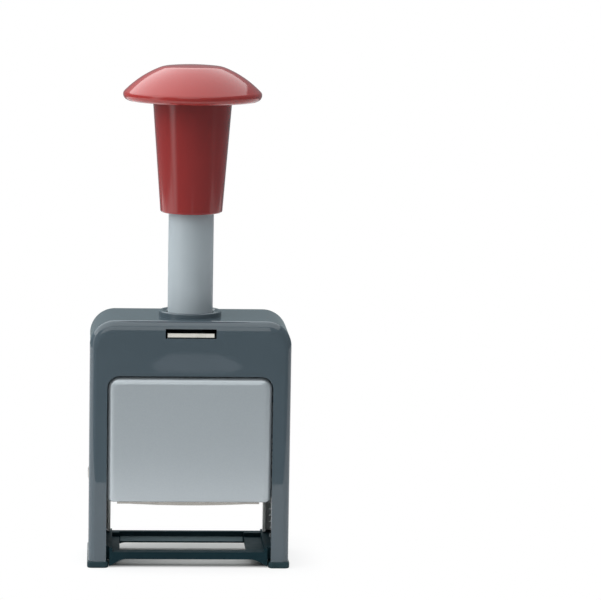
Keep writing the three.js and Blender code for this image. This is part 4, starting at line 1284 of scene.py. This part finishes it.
def window_tool(top, front, rear, wider=0.0):
    return prism_y("window", arch_outline(LEG_INNER + wider, -BEYOND, top, WINDOW_CORNER), front, rear)


def hollow_tool(front, rear):
    return prism_y("hollow", housing_outline(SHELL_WALL, -BEYOND), front, rear)


print("housing, mm:", round(2 * HALF_WIDTH, 1), "wide,", round(REAR_Y - FRONT_Y, 1), "deep")

# %% [markdown]
# In the front shell, the window is a hair wider than in the solid, so that the legs come out as
# slim as in the photograph. Inside, a ledge with two rails carries the lock slide below its slot.

# %% Front shell
FRONT_ROUND, FRONT_TOP_SHARE = 2.6, 1.8
FRONT_LEG_SLIMMER = 0.25
PANEL_CLEARANCE = 0.3
SLOT_HEIGHT, SLOT_OVERRUN = 3.3, 5
LEDGE_SIDE, LEDGE_THICKNESS, LEDGE_SET_BACK, RAIL_HEIGHT = 1, 1.1, 0.9, 1.7
LEDGE_EDGE = 0.12


def slide_ledge(slot, slot_low):
    """The shelf behind the slot and the rail on each side of it."""
    front, rear = FRONT_Y + LEDGE_SET_BACK, box_mm("front_shell")[1].y
    foot, side = slot_low - LEDGE_THICKNESS, slot + LEDGE_SIDE
    ledge = box_object("ledge", (-side, front, foot), (side, rear, slot_low))
    rail = box_object("rail", (slot, front, foot), (side, rear, slot_low + RAIL_HEIGHT))
    both_sides(ledge, rail, "UNION")
    return ease(clean(ledge), LEDGE_EDGE)


def make_front_shell():
    rings = []
    for depth in round_depths(FRONT_ROUND) + [PARTING_Y - PARTING_GAP / 2 - FRONT_Y]:
        outline = housing_outline(round_over(depth, FRONT_ROUND), SHELL_FOOT, FRONT_TOP_SHARE)
        rings.append([(x, FRONT_Y + depth, z) for x, z in outline])
    shell = stack("front_shell_moulding", rings)
    window_top = box_mm("front_panel")[1].z + PANEL_CLEARANCE
    carve(shell, hollow_tool(FRONT_Y + SHELL_WALL, REAR_Y))
    carve(shell, window_tool(window_top, FRONT_Y - BEYOND, REAR_Y, FRONT_LEG_SLIMMER))
    slide_low, slide_high = box_mm("lock_slide")
    slot, slot_low = slide_high.x + SLIDE_CLEARANCE, slide_low.z - SLIDE_CLEARANCE
    carve(shell, box_object("slot", (-slot, FRONT_Y - SLOT_OVERRUN, slot_low),
                            (slot, PARTING_Y + SLOT_OVERRUN, slot_low + SLOT_HEIGHT)))
    clean(shell)
    ease(shell, SHELL_EDGE)
    join(shell, slide_ledge(slot, slot_low))
    shade(shell)
    return fit(shell, "housing", "housing", "front_shell")


front_shell = make_front_shell()
print(front_shell.name, len(front_shell.data.polygons), "faces")

# %% [markdown]
# The rear shell carries everything: a hole for the bush in its top, lugs that steady the guide
# rods, bosses for the two screws that hold the front shell, and sunk holes for the pad pivots.
# The screw heads sit in shallow sinks in the rear face.

# %% Sizes of the rear shell
REAR_ROUND = 1.5
REAR_WINDOW_TOP = 46
SCREW_X, SCREW_Z = 29.5, 79.6
SCREW_HOLE, SINK_RADIUS, SINK_DEPTH = 1.1, 2.25, 1.1
BOSS_RADIUS, BOSS_FRONT_GAP, BOSS_REAR_GAP = 2.6, 0.3, 1.5
LUG_LOW, LUG_HIGH, LUG_HALF_DEPTH = 67.9, 71.1, 3.2
LUG_INNER_GAP, LUG_WALL_DEPTH = 0.3, 0.9
BUSH_HOLE, BUSH_HOLE_BELOW = 9.7, 4
ROD_HOLE, ROD_HOLE_LOW, ROD_HOLE_HIGH = 1.35, 60, 73
PIVOT_HOLE, PIVOT_HOLE_INNER, PIVOT_SINK, PIVOT_SINK_DEPTH = 1.65, 30, 2.95, 0.85
OVERRUN, SIDE_OVERRUN = 2, 40


# %% Rear shell
def add_bosses(shell):
    """The screw bosses and the lugs that steady the guide rods, on both sides."""
    both_sides(shell, rod_tool(BOSS_RADIUS, PARTING_Y + BOSS_FRONT_GAP, REAR_Y - BOSS_REAR_GAP,
                               (SCREW_X, SCREW_Z), "Y"), "UNION")
    lug = box_object("lug", (LEG_INNER + LUG_INNER_GAP, -LUG_HALF_DEPTH, LUG_LOW),
                     (HALF_WIDTH - LUG_WALL_DEPTH, LUG_HALF_DEPTH, LUG_HIGH))
    both_sides(shell, lug, "UNION")


def drill(shell):
    """The holes for the bush, the guide rods, the pad pivots and the screws."""
    rod, pivot = middle_mm("guide_rod_right"), middle_mm("pad_pivot_right")
    pivot_place, screw_place = (pivot.y, pivot.z), (SCREW_X, SCREW_Z)
    below = SHELL_TOP - BUSH_HOLE_BELOW
    carve(shell, rod_tool(BUSH_HOLE, below, SHELL_TOP + OVERRUN, (0, 0), "Z", RING_STEPS))
    both_sides(shell, rod_tool(ROD_HOLE, ROD_HOLE_LOW, ROD_HOLE_HIGH, (rod.x, 0), "Z"))
    both_sides(shell, rod_tool(PIVOT_HOLE, PIVOT_HOLE_INNER, SIDE_OVERRUN, pivot_place, "X"))
    both_sides(shell, rod_tool(PIVOT_SINK, HALF_WIDTH - PIVOT_SINK_DEPTH, SIDE_OVERRUN, pivot_place, "X"))
    both_sides(shell, rod_tool(SCREW_HOLE, FRONT_Y, REAR_Y + OVERRUN, screw_place, "Y"))
    both_sides(shell, rod_tool(SINK_RADIUS, REAR_Y - SINK_DEPTH, REAR_Y + OVERRUN, screw_place, "Y"))


def make_rear_shell():
    rings = []
    for depth in round_depths(REAR_ROUND) + [REAR_Y - PARTING_Y - PARTING_GAP / 2]:
        outline = housing_outline(round_over(depth, REAR_ROUND), SHELL_FOOT)
        rings.append([(x, REAR_Y - depth, z) for x, z in outline])
    shell = stack("rear_shell_moulding", rings)
    carve(shell, hollow_tool(-BEYOND, REAR_Y - SHELL_WALL))
    carve(shell, window_tool(REAR_WINDOW_TOP, 0, REAR_Y + BEYOND))
    add_bosses(shell)
    drill(shell)
    clean(shell)
    ease(shell, SHELL_EDGE)
    shade(shell)
    return fit(shell, "housing", "housing", "rear_shell")


rear_shell = make_rear_shell()
print(rear_shell.name, len(rear_shell.data.polygons), "faces")

# %% [markdown]
# The panel is the piece the eye lands on. Its top and sides are rounded over broadly, so they
# catch the soft box as a bright border, while its bottom edge is nearly square. Behind the
# face it is a hollow tray with a thin wall.

# %% Front panel
PANEL_WALL, PANEL_EDGE = 1.7, 0.15
PANEL_WIDER = 0.5
PANEL_ROUND, PANEL_TOP_ROUND, PANEL_FOOT_ROUND = 2.9, 3.2, 0.6
PANEL_CORNER, PANEL_CORNER_SHARE = 4, 0.9
PANEL_FOOT_CORNER, PANEL_FOOT_CORNER_SHARE, PANEL_FOOT_CORNER_LEAST = 1.6, 0.5, 0.5
HOLLOW_FOOT_CORNER, HOLLOW_OVERRUN = 0.6, 5


def panel_outline(side_inset, foot_inset, foot_corner):
    """The panel's outline, set in at the sides and the foot, and at the top in step with the sides."""
    low, high = box_mm("front_panel")
    top_inset = side_inset * PANEL_TOP_ROUND / PANEL_ROUND
    return arch_outline(high.x + PANEL_WIDER - side_inset, low.z + foot_inset, high.z - top_inset,
                        PANEL_CORNER - side_inset * PANEL_CORNER_SHARE, foot_corner)


def make_panel():
    low, high = box_mm("front_panel")
    rings = []
    for depth in round_depths(PANEL_ROUND) + [high.y - low.y]:
        side_inset = round_over(depth, PANEL_ROUND)
        foot_corner = max(PANEL_FOOT_CORNER_LEAST, PANEL_FOOT_CORNER - side_inset * PANEL_FOOT_CORNER_SHARE)
        outline = panel_outline(side_inset, round_over(depth, PANEL_FOOT_ROUND), foot_corner)
        rings.append([(x, low.y + depth, z) for x, z in outline])
    panel = stack("front_panel_moulding", rings)
    carve(panel, prism_y("hollow", panel_outline(PANEL_WALL, PANEL_WALL, HOLLOW_FOOT_CORNER),
                         low.y + PANEL_WALL, high.y + HOLLOW_OVERRUN))
    clean(panel)
    ease(panel, PANEL_EDGE)
    shade(panel)
    return fit(panel, "panel", "housing", "front_panel")


panel = make_panel()
print(panel.name, len(panel.data.polygons), "faces")

# %% [markdown]
# The lock slide is a nickel plate in the slot above the panel. Only its front edge shows, as a
# bright band. That edge is a raised lip for the thumb, a little taller than the plate behind it
# and bevelled back, so that it faces the light overhead. Its two front corners are cut off so
# that it finds its way between the rails. It is a stack of outlines: the lower ones reach back
# over the whole plate, and the upper ones stop behind the lip.

# %% Lock slide
SLIDE_CHAMFER, SLIDE_BEVEL, SLIDE_EDGE = 0.4, 0.72, 0.1
LIP_RISE, LIP_BEVEL, LIP_DEPTH, LIP_REAR_SLOPE = 0.35, 1.3, 2.3, 0.1
LIP_FALL, FALL_SET_BACK, FALL_TOP = 0.15, 0.2, 0.1


def slide_outline(set_back, rear):
    low, high = box_mm("lock_slide")
    half, front, cut = high.x, low.y + set_back, SLIDE_CHAMFER
    return [(half, rear), (-half, rear), (-half, front + cut), (-half + cut, front),
            (half - cut, front), (half, front + cut)]


def make_slide():
    low, high = box_mm("lock_slide")
    lip_rear = low.y + LIP_DEPTH
    levels = [(low.z - LIP_FALL, FALL_SET_BACK, high.y), (low.z + FALL_TOP, 0, high.y),
              (high.z, SLIDE_BEVEL, high.y), (high.z, SLIDE_BEVEL, lip_rear),
              (high.z + LIP_RISE, LIP_BEVEL, lip_rear - LIP_REAR_SLOPE)]
    slide = stack("lock_slide_stamped", [
        [(x, y, z) for x, y in slide_outline(set_back, rear)] for z, set_back, rear in levels])
    ease(slide, SLIDE_EDGE, segments=3)
    shade(slide)
    return fit(slide, "nickel", "lock", "lock_slide")


slide = make_slide()
print(slide.name, len(slide.data.polygons), "faces")

# %% [markdown]
# ## Stamped and small moulded parts
# The remaining parts keep the exact shape of the frame, since each is a plain stamping or a
# small moulding. What they lack there is the eased edge that every real part has, so each is
# copied, its corners merged, its edges rounded and its faces shaded to match.

# %% Base, shoes and bearings
BASE_EDGE, SHOE_EDGE = 0.22, 0.45
STRIP_EDGE, SLIDER_EDGE = 0.12, 0.2
CLIP_EDGE, NUT_EDGE = 0.08, 0.25

dressed_copy("base_frame", "base", "housing", BASE_EDGE)
for side in ("right", "left"):
    dressed_copy("foot_" + side, "shoes", "housing", SHOE_EDGE, slot="base", segments=3)
    dressed_copy("bearing_plate_" + side, "acetal", "housing", STRIP_EDGE)
    dressed_copy("slider_" + side, "acetal", "plunger", SLIDER_EDGE)
    dressed_copy("shaft_clip_" + side, "steel", "plunger", CLIP_EDGE)
dressed_copy("rod_nut", "nickel", "plunger", NUT_EDGE)

# %% Carriage, rocker, pawls and detent
CARRIAGE_EDGE, ROCKER_EDGE, COMB_EDGE = 0.12, 0.1, 0.08

dressed_copy("carriage_frame", "steel", "plunger", CARRIAGE_EDGE)
dressed_copy("drive_rocker", "steel", "rocker", ROCKER_EDGE)
dressed_copy("feed_pawl_comb", "steel", "feed_pawl", COMB_EDGE)
dressed_copy("detent_comb", "steel", "plunger", COMB_EDGE)

# %% Pad tray and cartridge
TRAY_EDGE, CARTRIDGE_EDGE = 0.12, 0.15

dressed_copy("pad_tray", "nickel", "pad", TRAY_EDGE)
dressed_copy("pad_cartridge", "base", "pad", CARTRIDGE_EDGE)

# %% [markdown]
# ## Return springs
# Two wound springs in the legs push the plunger back up. A wire is coiled with its last turn
# and a half lying close at each end, so that the spring stands flat. The tree walks points up a
# helix whose climb is small in those end turns and even in between, then sweeps the wire's
# round section along it.

# %% A tree that winds a spring
SPRING_COILS, SPRING_END_COILS = 18.0, 1.5
COIL_RADIUS, WIRE_RADIUS = 1.65, 0.3
SPRING_LENGTH = 37.5
SPRING_STEPS, SECTION_STEPS = 24, 10
CLOSE_SHARE = 1.02


def build_spring_tree():
    tree = new_tree("wind_spring", [
        ("Coils", "NodeSocketFloat", SPRING_COILS), ("End Coils", "NodeSocketFloat", SPRING_END_COILS),
        ("Coil Radius", "NodeSocketFloat", mm(COIL_RADIUS)),
        ("Wire Radius", "NodeSocketFloat", mm(WIRE_RADIUS)),
        ("Length", "NodeSocketFloat", mm(SPRING_LENGTH)), ("Steps", "NodeSocketInt", SPRING_STEPS),
        ("Section Steps", "NodeSocketInt", SECTION_STEPS), ("Place", "NodeSocketVector", None),
        ("Finish", "NodeSocketMaterial", None)])
    given = add(tree, "NodeGroupInput").outputs
    coils = given["Coils"]
    wire = add(tree, "ShaderNodeMath", {0: given["Wire Radius"], 1: 2.0}, operation="MULTIPLY")
    spans = add(tree, "ShaderNodeMath", {0: coils, 1: given["Steps"]}, operation="MULTIPLY")
    count = add(tree, "ShaderNodeMath", {0: spans, 1: 1}, operation="ADD")
    line = add(tree, "GeometryNodeMeshLine", {"Count": count})
    index = add(tree, "GeometryNodeInputIndex")
    turns = add(tree, "ShaderNodeMath", {0: index, 1: given["Steps"]}, operation="DIVIDE")
    angle = add(tree, "ShaderNodeMath", {0: turns, 1: math.tau}, operation="MULTIPLY")
    # Every coil climbs by a little more than the wire, and the inner ones share out the rest.
    close = add(tree, "ShaderNodeMath", {0: wire, 1: CLOSE_SHARE}, operation="MULTIPLY")
    room = add(tree, "ShaderNodeMath", {0: given["Length"], 1: wire}, operation="SUBTRACT")
    solid = add(tree, "ShaderNodeMath", {0: close, 1: coils}, operation="MULTIPLY")
    climb = add(tree, "ShaderNodeMath", {0: room, 1: solid}, operation="SUBTRACT")
    last = add(tree, "ShaderNodeMath", {0: coils, 1: given["End Coils"]}, operation="SUBTRACT")
    share = add(tree, "ShaderNodeMapRange", {
        "Value": turns, "From Min": given["End Coils"], "From Max": last})
    low = add(tree, "ShaderNodeMath", {0: turns, 1: close}, operation="MULTIPLY")
    high = add(tree, "ShaderNodeMath", {0: climb, 1: share}, operation="MULTIPLY")
    risen = add(tree, "ShaderNodeMath", {0: low, 1: high}, operation="ADD")
    height = add(tree, "ShaderNodeMath", {0: given["Wire Radius"], 1: risen}, operation="ADD")
    around = about_axis(tree, given["Coil Radius"], angle, height)
    helix = add(tree, "GeometryNodeSetPosition", {"Geometry": line, "Position": around})
    path = add(tree, "GeometryNodeMeshToCurve", {0: helix})
    section = add(tree, "GeometryNodeCurvePrimitiveCircle", {
        "Resolution": given["Section Steps"], "Radius": given["Wire Radius"]})
    wound = add(tree, "GeometryNodeCurveToMesh", {"Curve": path, "Profile Curve": section, "Fill Caps": True})
    moved = add(tree, "GeometryNodeTransform", {"Geometry": wound, "Translation": given["Place"]})
    return finish_tree(tree, moved, given["Finish"])


spring_tree = build_spring_tree()
print("spring tree:", len(spring_tree.nodes), "nodes")

# %% [markdown]
# Each spring stands on the guide rod's foot, and the frame says how long it is.


def empty_mesh(name):
    return new_object(name, bpy.data.meshes.new(name))


def make_spring(side):
    node = "return_spring_" + side
    low, high = box_mm(node)
    foot = tuple(mm(middle_mm("guide_rod_" + side).x, 0, low.z))
    spring = run_tree(empty_mesh(node + "_wound"), spring_tree, Length=mm(high.z - low.z), Place=foot,
                      Finish=finishes["spring"])
    shade(turn_outward(spring), angle=50)
    fit(spring, "spring", "housing", node, slot="steel")
    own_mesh(spring)
    return spring


springs = [make_spring(side) for side in ("right", "left")]
print("springs:", [len(spring.data.polygons) for spring in springs], "faces")

# %% [markdown]
# ## Number wheels
# Each wheel is a drum with ten flats and a raised digit on every flat. The digits are what
# prints, so on the wheel they are mirror images, and the lowest one reads the right way round
# on paper. The tree writes "0123456789" once, gives each digit its height, and then bends the
# row round the drum: digit number i goes to the flat that lies i tenths of a turn further on.

# %% Digits, written and raised
WHEEL_DIGITS = "0123456789"
TYPE_RADIUS, VALLEY_RADIUS = 11.1, 9.9
DIGIT_SIZE, DIGIT_SQUEEZE = 7.6, 0.84
DIGIT_RELIEF, DIGIT_SUNK = 0.4, 0.15


def raised_text(tree, given, at):
    """The row of digits, flat and given a height, each with its number and its middle stored."""
    written = add(tree, "GeometryNodeStringToCurves", {
        "String": given["Digits"], "Size": given["Size"]}, pivot_mode="MIDPOINT")
    middle = add(tree, "ShaderNodeVectorMath", {
        0: at, 1: written.outputs["Pivot Point"]}, operation="ADD")
    numbered = add(tree, "GeometryNodeStoreNamedAttribute", {
        "Geometry": written, "Name": "number", "Value": add(tree, "GeometryNodeInputIndex")},
        data_type="FLOAT", domain="INSTANCE")
    centred = add(tree, "GeometryNodeStoreNamedAttribute", {
        "Geometry": numbered, "Name": "middle", "Value": middle}, data_type="FLOAT_VECTOR", domain="INSTANCE")
    filled = add(tree, "GeometryNodeFillCurve", {"Curve": centred})
    thick = add(tree, "ShaderNodeMath", {0: given["Relief"], 1: given["Sunk"]}, operation="ADD")
    raised = add(tree, "GeometryNodeExtrudeMesh", {
        "Mesh": filled, "Offset Scale": thick, "Individual": False})
    base = add(tree, "GeometryNodeFlipFaces", {"Mesh": filled})
    both = add(tree, "GeometryNodeJoinGeometry")
    for side in (base, raised):
        tree.links.new(side.outputs[0], both.inputs[0])
    real = add(tree, "GeometryNodeRealizeInstances", {"Geometry": both})
    return add(tree, "GeometryNodeMergeByDistance", {"Geometry": real, "Distance": mm(POLE_MERGE)})


# %% A tree that wraps the digits round a drum
def build_digit_tree():
    tree = new_tree("raised_digits", [
        ("Digits", "NodeSocketString", WHEEL_DIGITS), ("Size", "NodeSocketFloat", mm(DIGIT_SIZE)),
        ("Squeeze", "NodeSocketFloat", DIGIT_SQUEEZE), ("Relief", "NodeSocketFloat", mm(DIGIT_RELIEF)),
        ("Sunk", "NodeSocketFloat", mm(DIGIT_SUNK)), ("Type Radius", "NodeSocketFloat", mm(TYPE_RADIUS)),
        ("First Digit", "NodeSocketInt", 0), ("Centre", "NodeSocketVector", None),
        ("Finish", "NodeSocketMaterial", None)])
    given = add(tree, "NodeGroupInput").outputs
    at = add(tree, "GeometryNodeInputPosition")
    closed = raised_text(tree, given, at)
    # Each digit's own number and middle were stored on it before its outline was filled.
    which = add(tree, "GeometryNodeInputNamedAttribute", {"Name": "number"}, data_type="FLOAT")
    own = add(tree, "GeometryNodeInputNamedAttribute", {"Name": "middle"}, data_type="FLOAT_VECTOR")
    local = add(tree, "ShaderNodeVectorMath", {0: at, 1: own}, operation="SUBTRACT")
    part = add(tree, "ShaderNodeSeparateXYZ", {0: local}).outputs
    rise = add(tree, "ShaderNodeSeparateXYZ", {0: at}).outputs["Z"]
    steps = add(tree, "ShaderNodeMath", {0: which, 1: given["First Digit"]}, operation="SUBTRACT")
    angle = add(tree, "ShaderNodeMath", {0: steps, 1: math.tau / len(WHEEL_DIGITS)}, operation="MULTIPLY")
    root = add(tree, "ShaderNodeMath", {0: given["Type Radius"], 1: given["Sunk"]}, operation="SUBTRACT")
    radius = add(tree, "ShaderNodeMath", {0: root, 1: rise}, operation="ADD")
    across = add(tree, "ShaderNodeMath", {0: part["X"], 1: given["Squeeze"]}, operation="MULTIPLY")
    sine = add(tree, "ShaderNodeMath", {0: angle}, operation="SINE")
    cosine = add(tree, "ShaderNodeMath", {0: angle}, operation="COSINE")
    up_cosine, up_sine, out_cosine, out_sine = [
        add(tree, "ShaderNodeMath", {0: length, 1: turn}, operation="MULTIPLY")
        for length in (part["Y"], radius) for turn in (cosine, sine)]
    y = add(tree, "ShaderNodeMath", {0: up_cosine, 1: out_sine}, operation="ADD")
    z = add(tree, "ShaderNodeMath", {0: up_sine, 1: out_cosine}, operation="SUBTRACT")
    wrapped = add(tree, "ShaderNodeCombineXYZ", {0: across, 1: y, 2: z})
    moved = add(tree, "GeometryNodeSetPosition", {
        "Geometry": closed, "Position": wrapped, "Offset": given["Centre"]})
    return finish_tree(tree, moved, given["Finish"])


digit_tree = build_digit_tree()
print("digit tree:", len(digit_tree.nodes), "nodes")

# %% [markdown]
# A wheel is a dressed copy of its node with the digits joined on. Its dried ink is worked out for
# each corner from how deep it lies, and the digits' faces carry the most, since they are inked at
# every stroke.

# %% Wheels
DIGITS_BELOW = (0, 0, 3, 7, 1, 8)
DRUM_WIDTH, WHEEL_EDGE = 3.7, 0.13
LEAST_INK, MOST_INK = 0.15, 1.0
DIGIT_INK = 0.85


def ink_of(wheel, shaft, body_count):
    """Writes how much dried ink each corner of a wheel carries: little on a flat, most in a hollow."""
    attribute = wheel.data.attributes.new("ink", "FLOAT", "POINT")
    values = []
    for index, vertex in enumerate(wheel.data.vertices):
        radius = math.hypot(vertex.co.y / MM - shaft.y, vertex.co.z / MM - shaft.z)
        hollow = 1 - min(1, max(0, (radius - VALLEY_RADIUS) / (TYPE_RADIUS - VALLEY_RADIUS)))
        on_body = LEAST_INK + (MOST_INK - LEAST_INK) * hollow
        values.append(DIGIT_INK if index >= body_count else on_body)
    attribute.data.foreach_set("value", values)


def make_wheel(number):
    node = f"number_wheel_{number}"
    low = box_mm(node)[0]
    shaft = middle_mm("wheel_shaft")
    wheel = ease(copy_of(node), WHEEL_EDGE)
    body_count = len(wheel.data.vertices)
    centre = mm(low.x + DRUM_WIDTH / 2, shaft.y, shaft.z)
    digits = run_tree(empty_mesh(f"digits_{number}"), digit_tree, First_Digit=DIGITS_BELOW[number - 1],
                      Centre=tuple(centre), Finish=finishes["wheels"])
    turn_outward(digits)
    tall = max(v.co.z for v in digits.data.vertices) / MM - shaft.z
    join(wheel, digits)
    ink_of(wheel, shaft, body_count)
    shade(wheel, angle=30)
    fit(wheel, "wheels", f"wheel_{number}", node)
    print(f"{wheel.name}: {len(wheel.data.polygons)} faces, digits reach {tall:.2f} mm out")
    return wheel


for number in range(1, len(DIGITS_BELOW) + 1):
    make_wheel(number)

# %% [markdown]
# ## Screws and rivets
# The two shells are held by cross recessed screws from behind, the sliders by small screws from
# above, and the detent by two rivets. One turned head with a cross cut in it serves for all
# screws. The tree puts a copy at every given point, turned by a random angle about its own
# axis, because nobody lines up screw slots.

# %% A tree that sets screws
def build_screw_tree():
    tree = new_tree("set_screws", [
        ("Screw", "NodeSocketObject", None), ("Seed", "NodeSocketInt", 3),
        ("Facing", "NodeSocketRotation", None), ("Size", "NodeSocketFloat", 1.0),
        ("Finish", "NodeSocketMaterial", None)])
    given = add(tree, "NodeGroupInput").outputs
    screw = add(tree, "GeometryNodeObjectInfo", {"Object": given["Screw"], "As Instance": True})
    spin = add(tree, "FunctionNodeRandomValue", {
        2: 0.0, 3: math.tau, "Seed": given["Seed"]}, data_type="FLOAT").outputs[1]
    about = add(tree, "FunctionNodeAxisAngleToRotation", {"Axis": (0, 0, 1), "Angle": spin})
    facing = add(tree, "FunctionNodeRotateRotation", {0: given["Facing"], 1: about}, rotation_space="LOCAL")
    placed = add(tree, "GeometryNodeInstanceOnPoints", {
        "Points": given["Geometry"], "Instance": screw.outputs["Geometry"],
        "Rotation": facing, "Scale": given["Size"]})
    return finish_tree(tree, placed, given["Finish"])


screw_tree = build_screw_tree()
print("screw tree:", len(screw_tree.nodes), "nodes")

# %% [markdown]
# The pattern is drawn at the size of the shells' screws, and the smaller ones are the same head
# at about half that size. Its underside lies at height 0, so a screw is placed by the face that
# its head sits on. A rivet is the same turned head without the cross.

# %% Screw heads
SHANK_RADIUS, SHANK_LENGTH, SHANK_ROUND = 0.95, 5, 0.3
HEAD_RADIUS, HEAD_EDGE, HEAD_HEIGHT = 1.9, 0.5, 0.88
HEAD_FOOT_ROUND, HEAD_ROUND = 0.12, 0.45
CROSS_REACH, CROSS_HALF_WIDTH, CROSS_FLOOR = 0.95, 0.17, 0.3
CROSS_OVERRUN = 2


def screw_pattern(cross=True):
    screw = turned("screw", rounded_profile([
        (0, -SHANK_LENGTH, 0), (SHANK_RADIUS, -SHANK_LENGTH, SHANK_ROUND), (SHANK_RADIUS, 0, 0),
        (HEAD_RADIUS, 0, HEAD_FOOT_ROUND), (HEAD_RADIUS, HEAD_EDGE, HEAD_ROUND), (0, HEAD_HEIGHT, 0),
    ], FINE_ROUND_STEPS), SCREW_STEPS, closed=False)
    if cross:
        long, short = CROSS_REACH, CROSS_HALF_WIDTH
        for x, y in ((long, short), (short, long)):
            carve(screw, box_object("cut", (-x, -y, CROSS_FLOOR), (x, y, CROSS_OVERRUN)))
    return screw


# %% Setting the screws
TO_REAR, TO_FRONT, UP = (-math.pi / 2, 0, 0), (math.pi / 2, 0, 0), (0, 0, 0)
SLIDER_SCREW_X, SLIDER_SCREW_Y = 27.2, 1.7
RIVET_X, RIVET_DROP = 11.5, 1.6

crossed, plain_head = screw_pattern(), screw_pattern(cross=False)
bridge_top = box_mm("carriage_frame")[1].z
detent_front = box_mm("detent_comb")[0].y
shell_places = [(x, REAR_Y - SINK_DEPTH, SCREW_Z) for x in (-SCREW_X, SCREW_X)]
slider_places = [(x, y, bridge_top) for x in (-SLIDER_SCREW_X, SLIDER_SCREW_X)
                 for y in (-SLIDER_SCREW_Y, SLIDER_SCREW_Y)]
rivet_places = [(x, detent_front, bridge_top - RIVET_DROP) for x in (-RIVET_X, RIVET_X)]
# name, pattern, places, facing, size, seed, finish and body
SCREW_ROWS = (
    ("shell_screws", crossed, shell_places, TO_REAR, 1.0, 3, "nickel", "housing"),
    ("slider_screws", crossed, slider_places, UP, 0.5, 8, "nickel", "plunger"),
    ("detent_rivets", plain_head, rivet_places, TO_FRONT, 0.55, 5, "steel", "plunger"),
)


def set_screws(name, pattern, places, facing, size, seed, finish, body):
    mesh = bpy.data.meshes.new(name)
    mesh.from_pydata([tuple(mm(*place)) for place in places], [], [])
    screws = run_tree(new_object(name, mesh), screw_tree, Screw=pattern, Seed=seed,
                      Facing=facing, Size=size, Finish=finishes[finish])
    shade(screws, angle=30)
    return fit(screws, finish, body)


for row in SCREW_ROWS:
    print(set_screws(*row).name + ":", len(row[2]), "pieces")
for pattern in (crossed, plain_head):
    bpy.data.objects.remove(pattern)

# %% [markdown]
# ## Ink pad
# The pad is a strip of dense wool felt that stands a little proud of its cartridge. Its top is
# crowned, its edges are soft and its surface is uneven by a few hundredths of a millimetre, so
# it is a grid whose heights come from those three parts. The wheels' digits have pressed six
# shallow bands into it.

# %% The felt's upper face
FELT_STEPS = (150, 30)
FELT_EDGE, EDGE_SHARE = 0.7, 0.8
CROWN = 0.1
BAND_DEPTH, BAND_PITCH, BANDS_REACH = 0.07, 5, 15
FUZZ_DEPTH, FUZZ_SCALE, FUZZ_LAYER = 0.05, 1.7, 3.0
FUZZ_ROOM = 0.06


def felt_depth(u, v, half_x, half_y):
    """How far below the highest place the felt lies at a place on it, in millimetres."""
    x, y = u * half_x, v * half_y
    edge = min(half_x - abs(x), half_y - abs(y))
    soft = FELT_EDGE - math.sqrt(max(0.0, FELT_EDGE ** 2 - max(0.0, FELT_EDGE - edge) ** 2))
    pressed = max(0.0, math.cos(math.tau * x / BAND_PITCH)) ** 2 if abs(x) < BANDS_REACH else 0.0
    fuzz = FUZZ_DEPTH * noise.noise(Vector((x * FUZZ_SCALE, y * FUZZ_SCALE, FUZZ_LAYER)))
    return soft * EDGE_SHARE + CROWN * v * v + BAND_DEPTH * pressed + FUZZ_ROOM + fuzz


def felt_top(work, low, high):
    """The grid of the felt's upper face."""
    centre, half = (low + high) / 2, (high - low) / 2
    columns, rows = FELT_STEPS
    top = []
    for i in range(columns + 1):
        u = 2 * i / columns - 1
        line = []
        for j in range(rows + 1):
            v = 2 * j / rows - 1
            z = high.z - max(0.0, felt_depth(u, v, half.x, half.y))
            line.append(work.verts.new(mm(centre.x + u * half.x, centre.y + v * half.y, z)))
        top.append(line)
    for i in range(columns):
        for j in range(rows):
            work.faces.new((top[i][j], top[i + 1][j], top[i + 1][j + 1], top[i][j + 1]))


# %% Pad
def make_pad():
    low, high = box_mm("ink_pad")
    work = bmesh.new()
    felt_top(work, low, high)
    rim = [edge for edge in work.edges if edge.is_boundary]
    sides = bmesh.ops.extrude_edge_only(work, edges=rim)["geom"]
    for corner_below in [made for made in sides if isinstance(made, bmesh.types.BMVert)]:
        corner_below.co.z = mm(low.z)
    bmesh.ops.contextual_create(work, geom=[edge for edge in work.edges if edge.is_boundary])
    pad = object_from("ink_pad_felt", work)
    shade(pad, angle=60)
    fit(pad, "felt", "pad", "ink_pad")
    return pad


ink_pad = make_pad()
print(ink_pad.name, len(ink_pad.data.polygons), "faces")
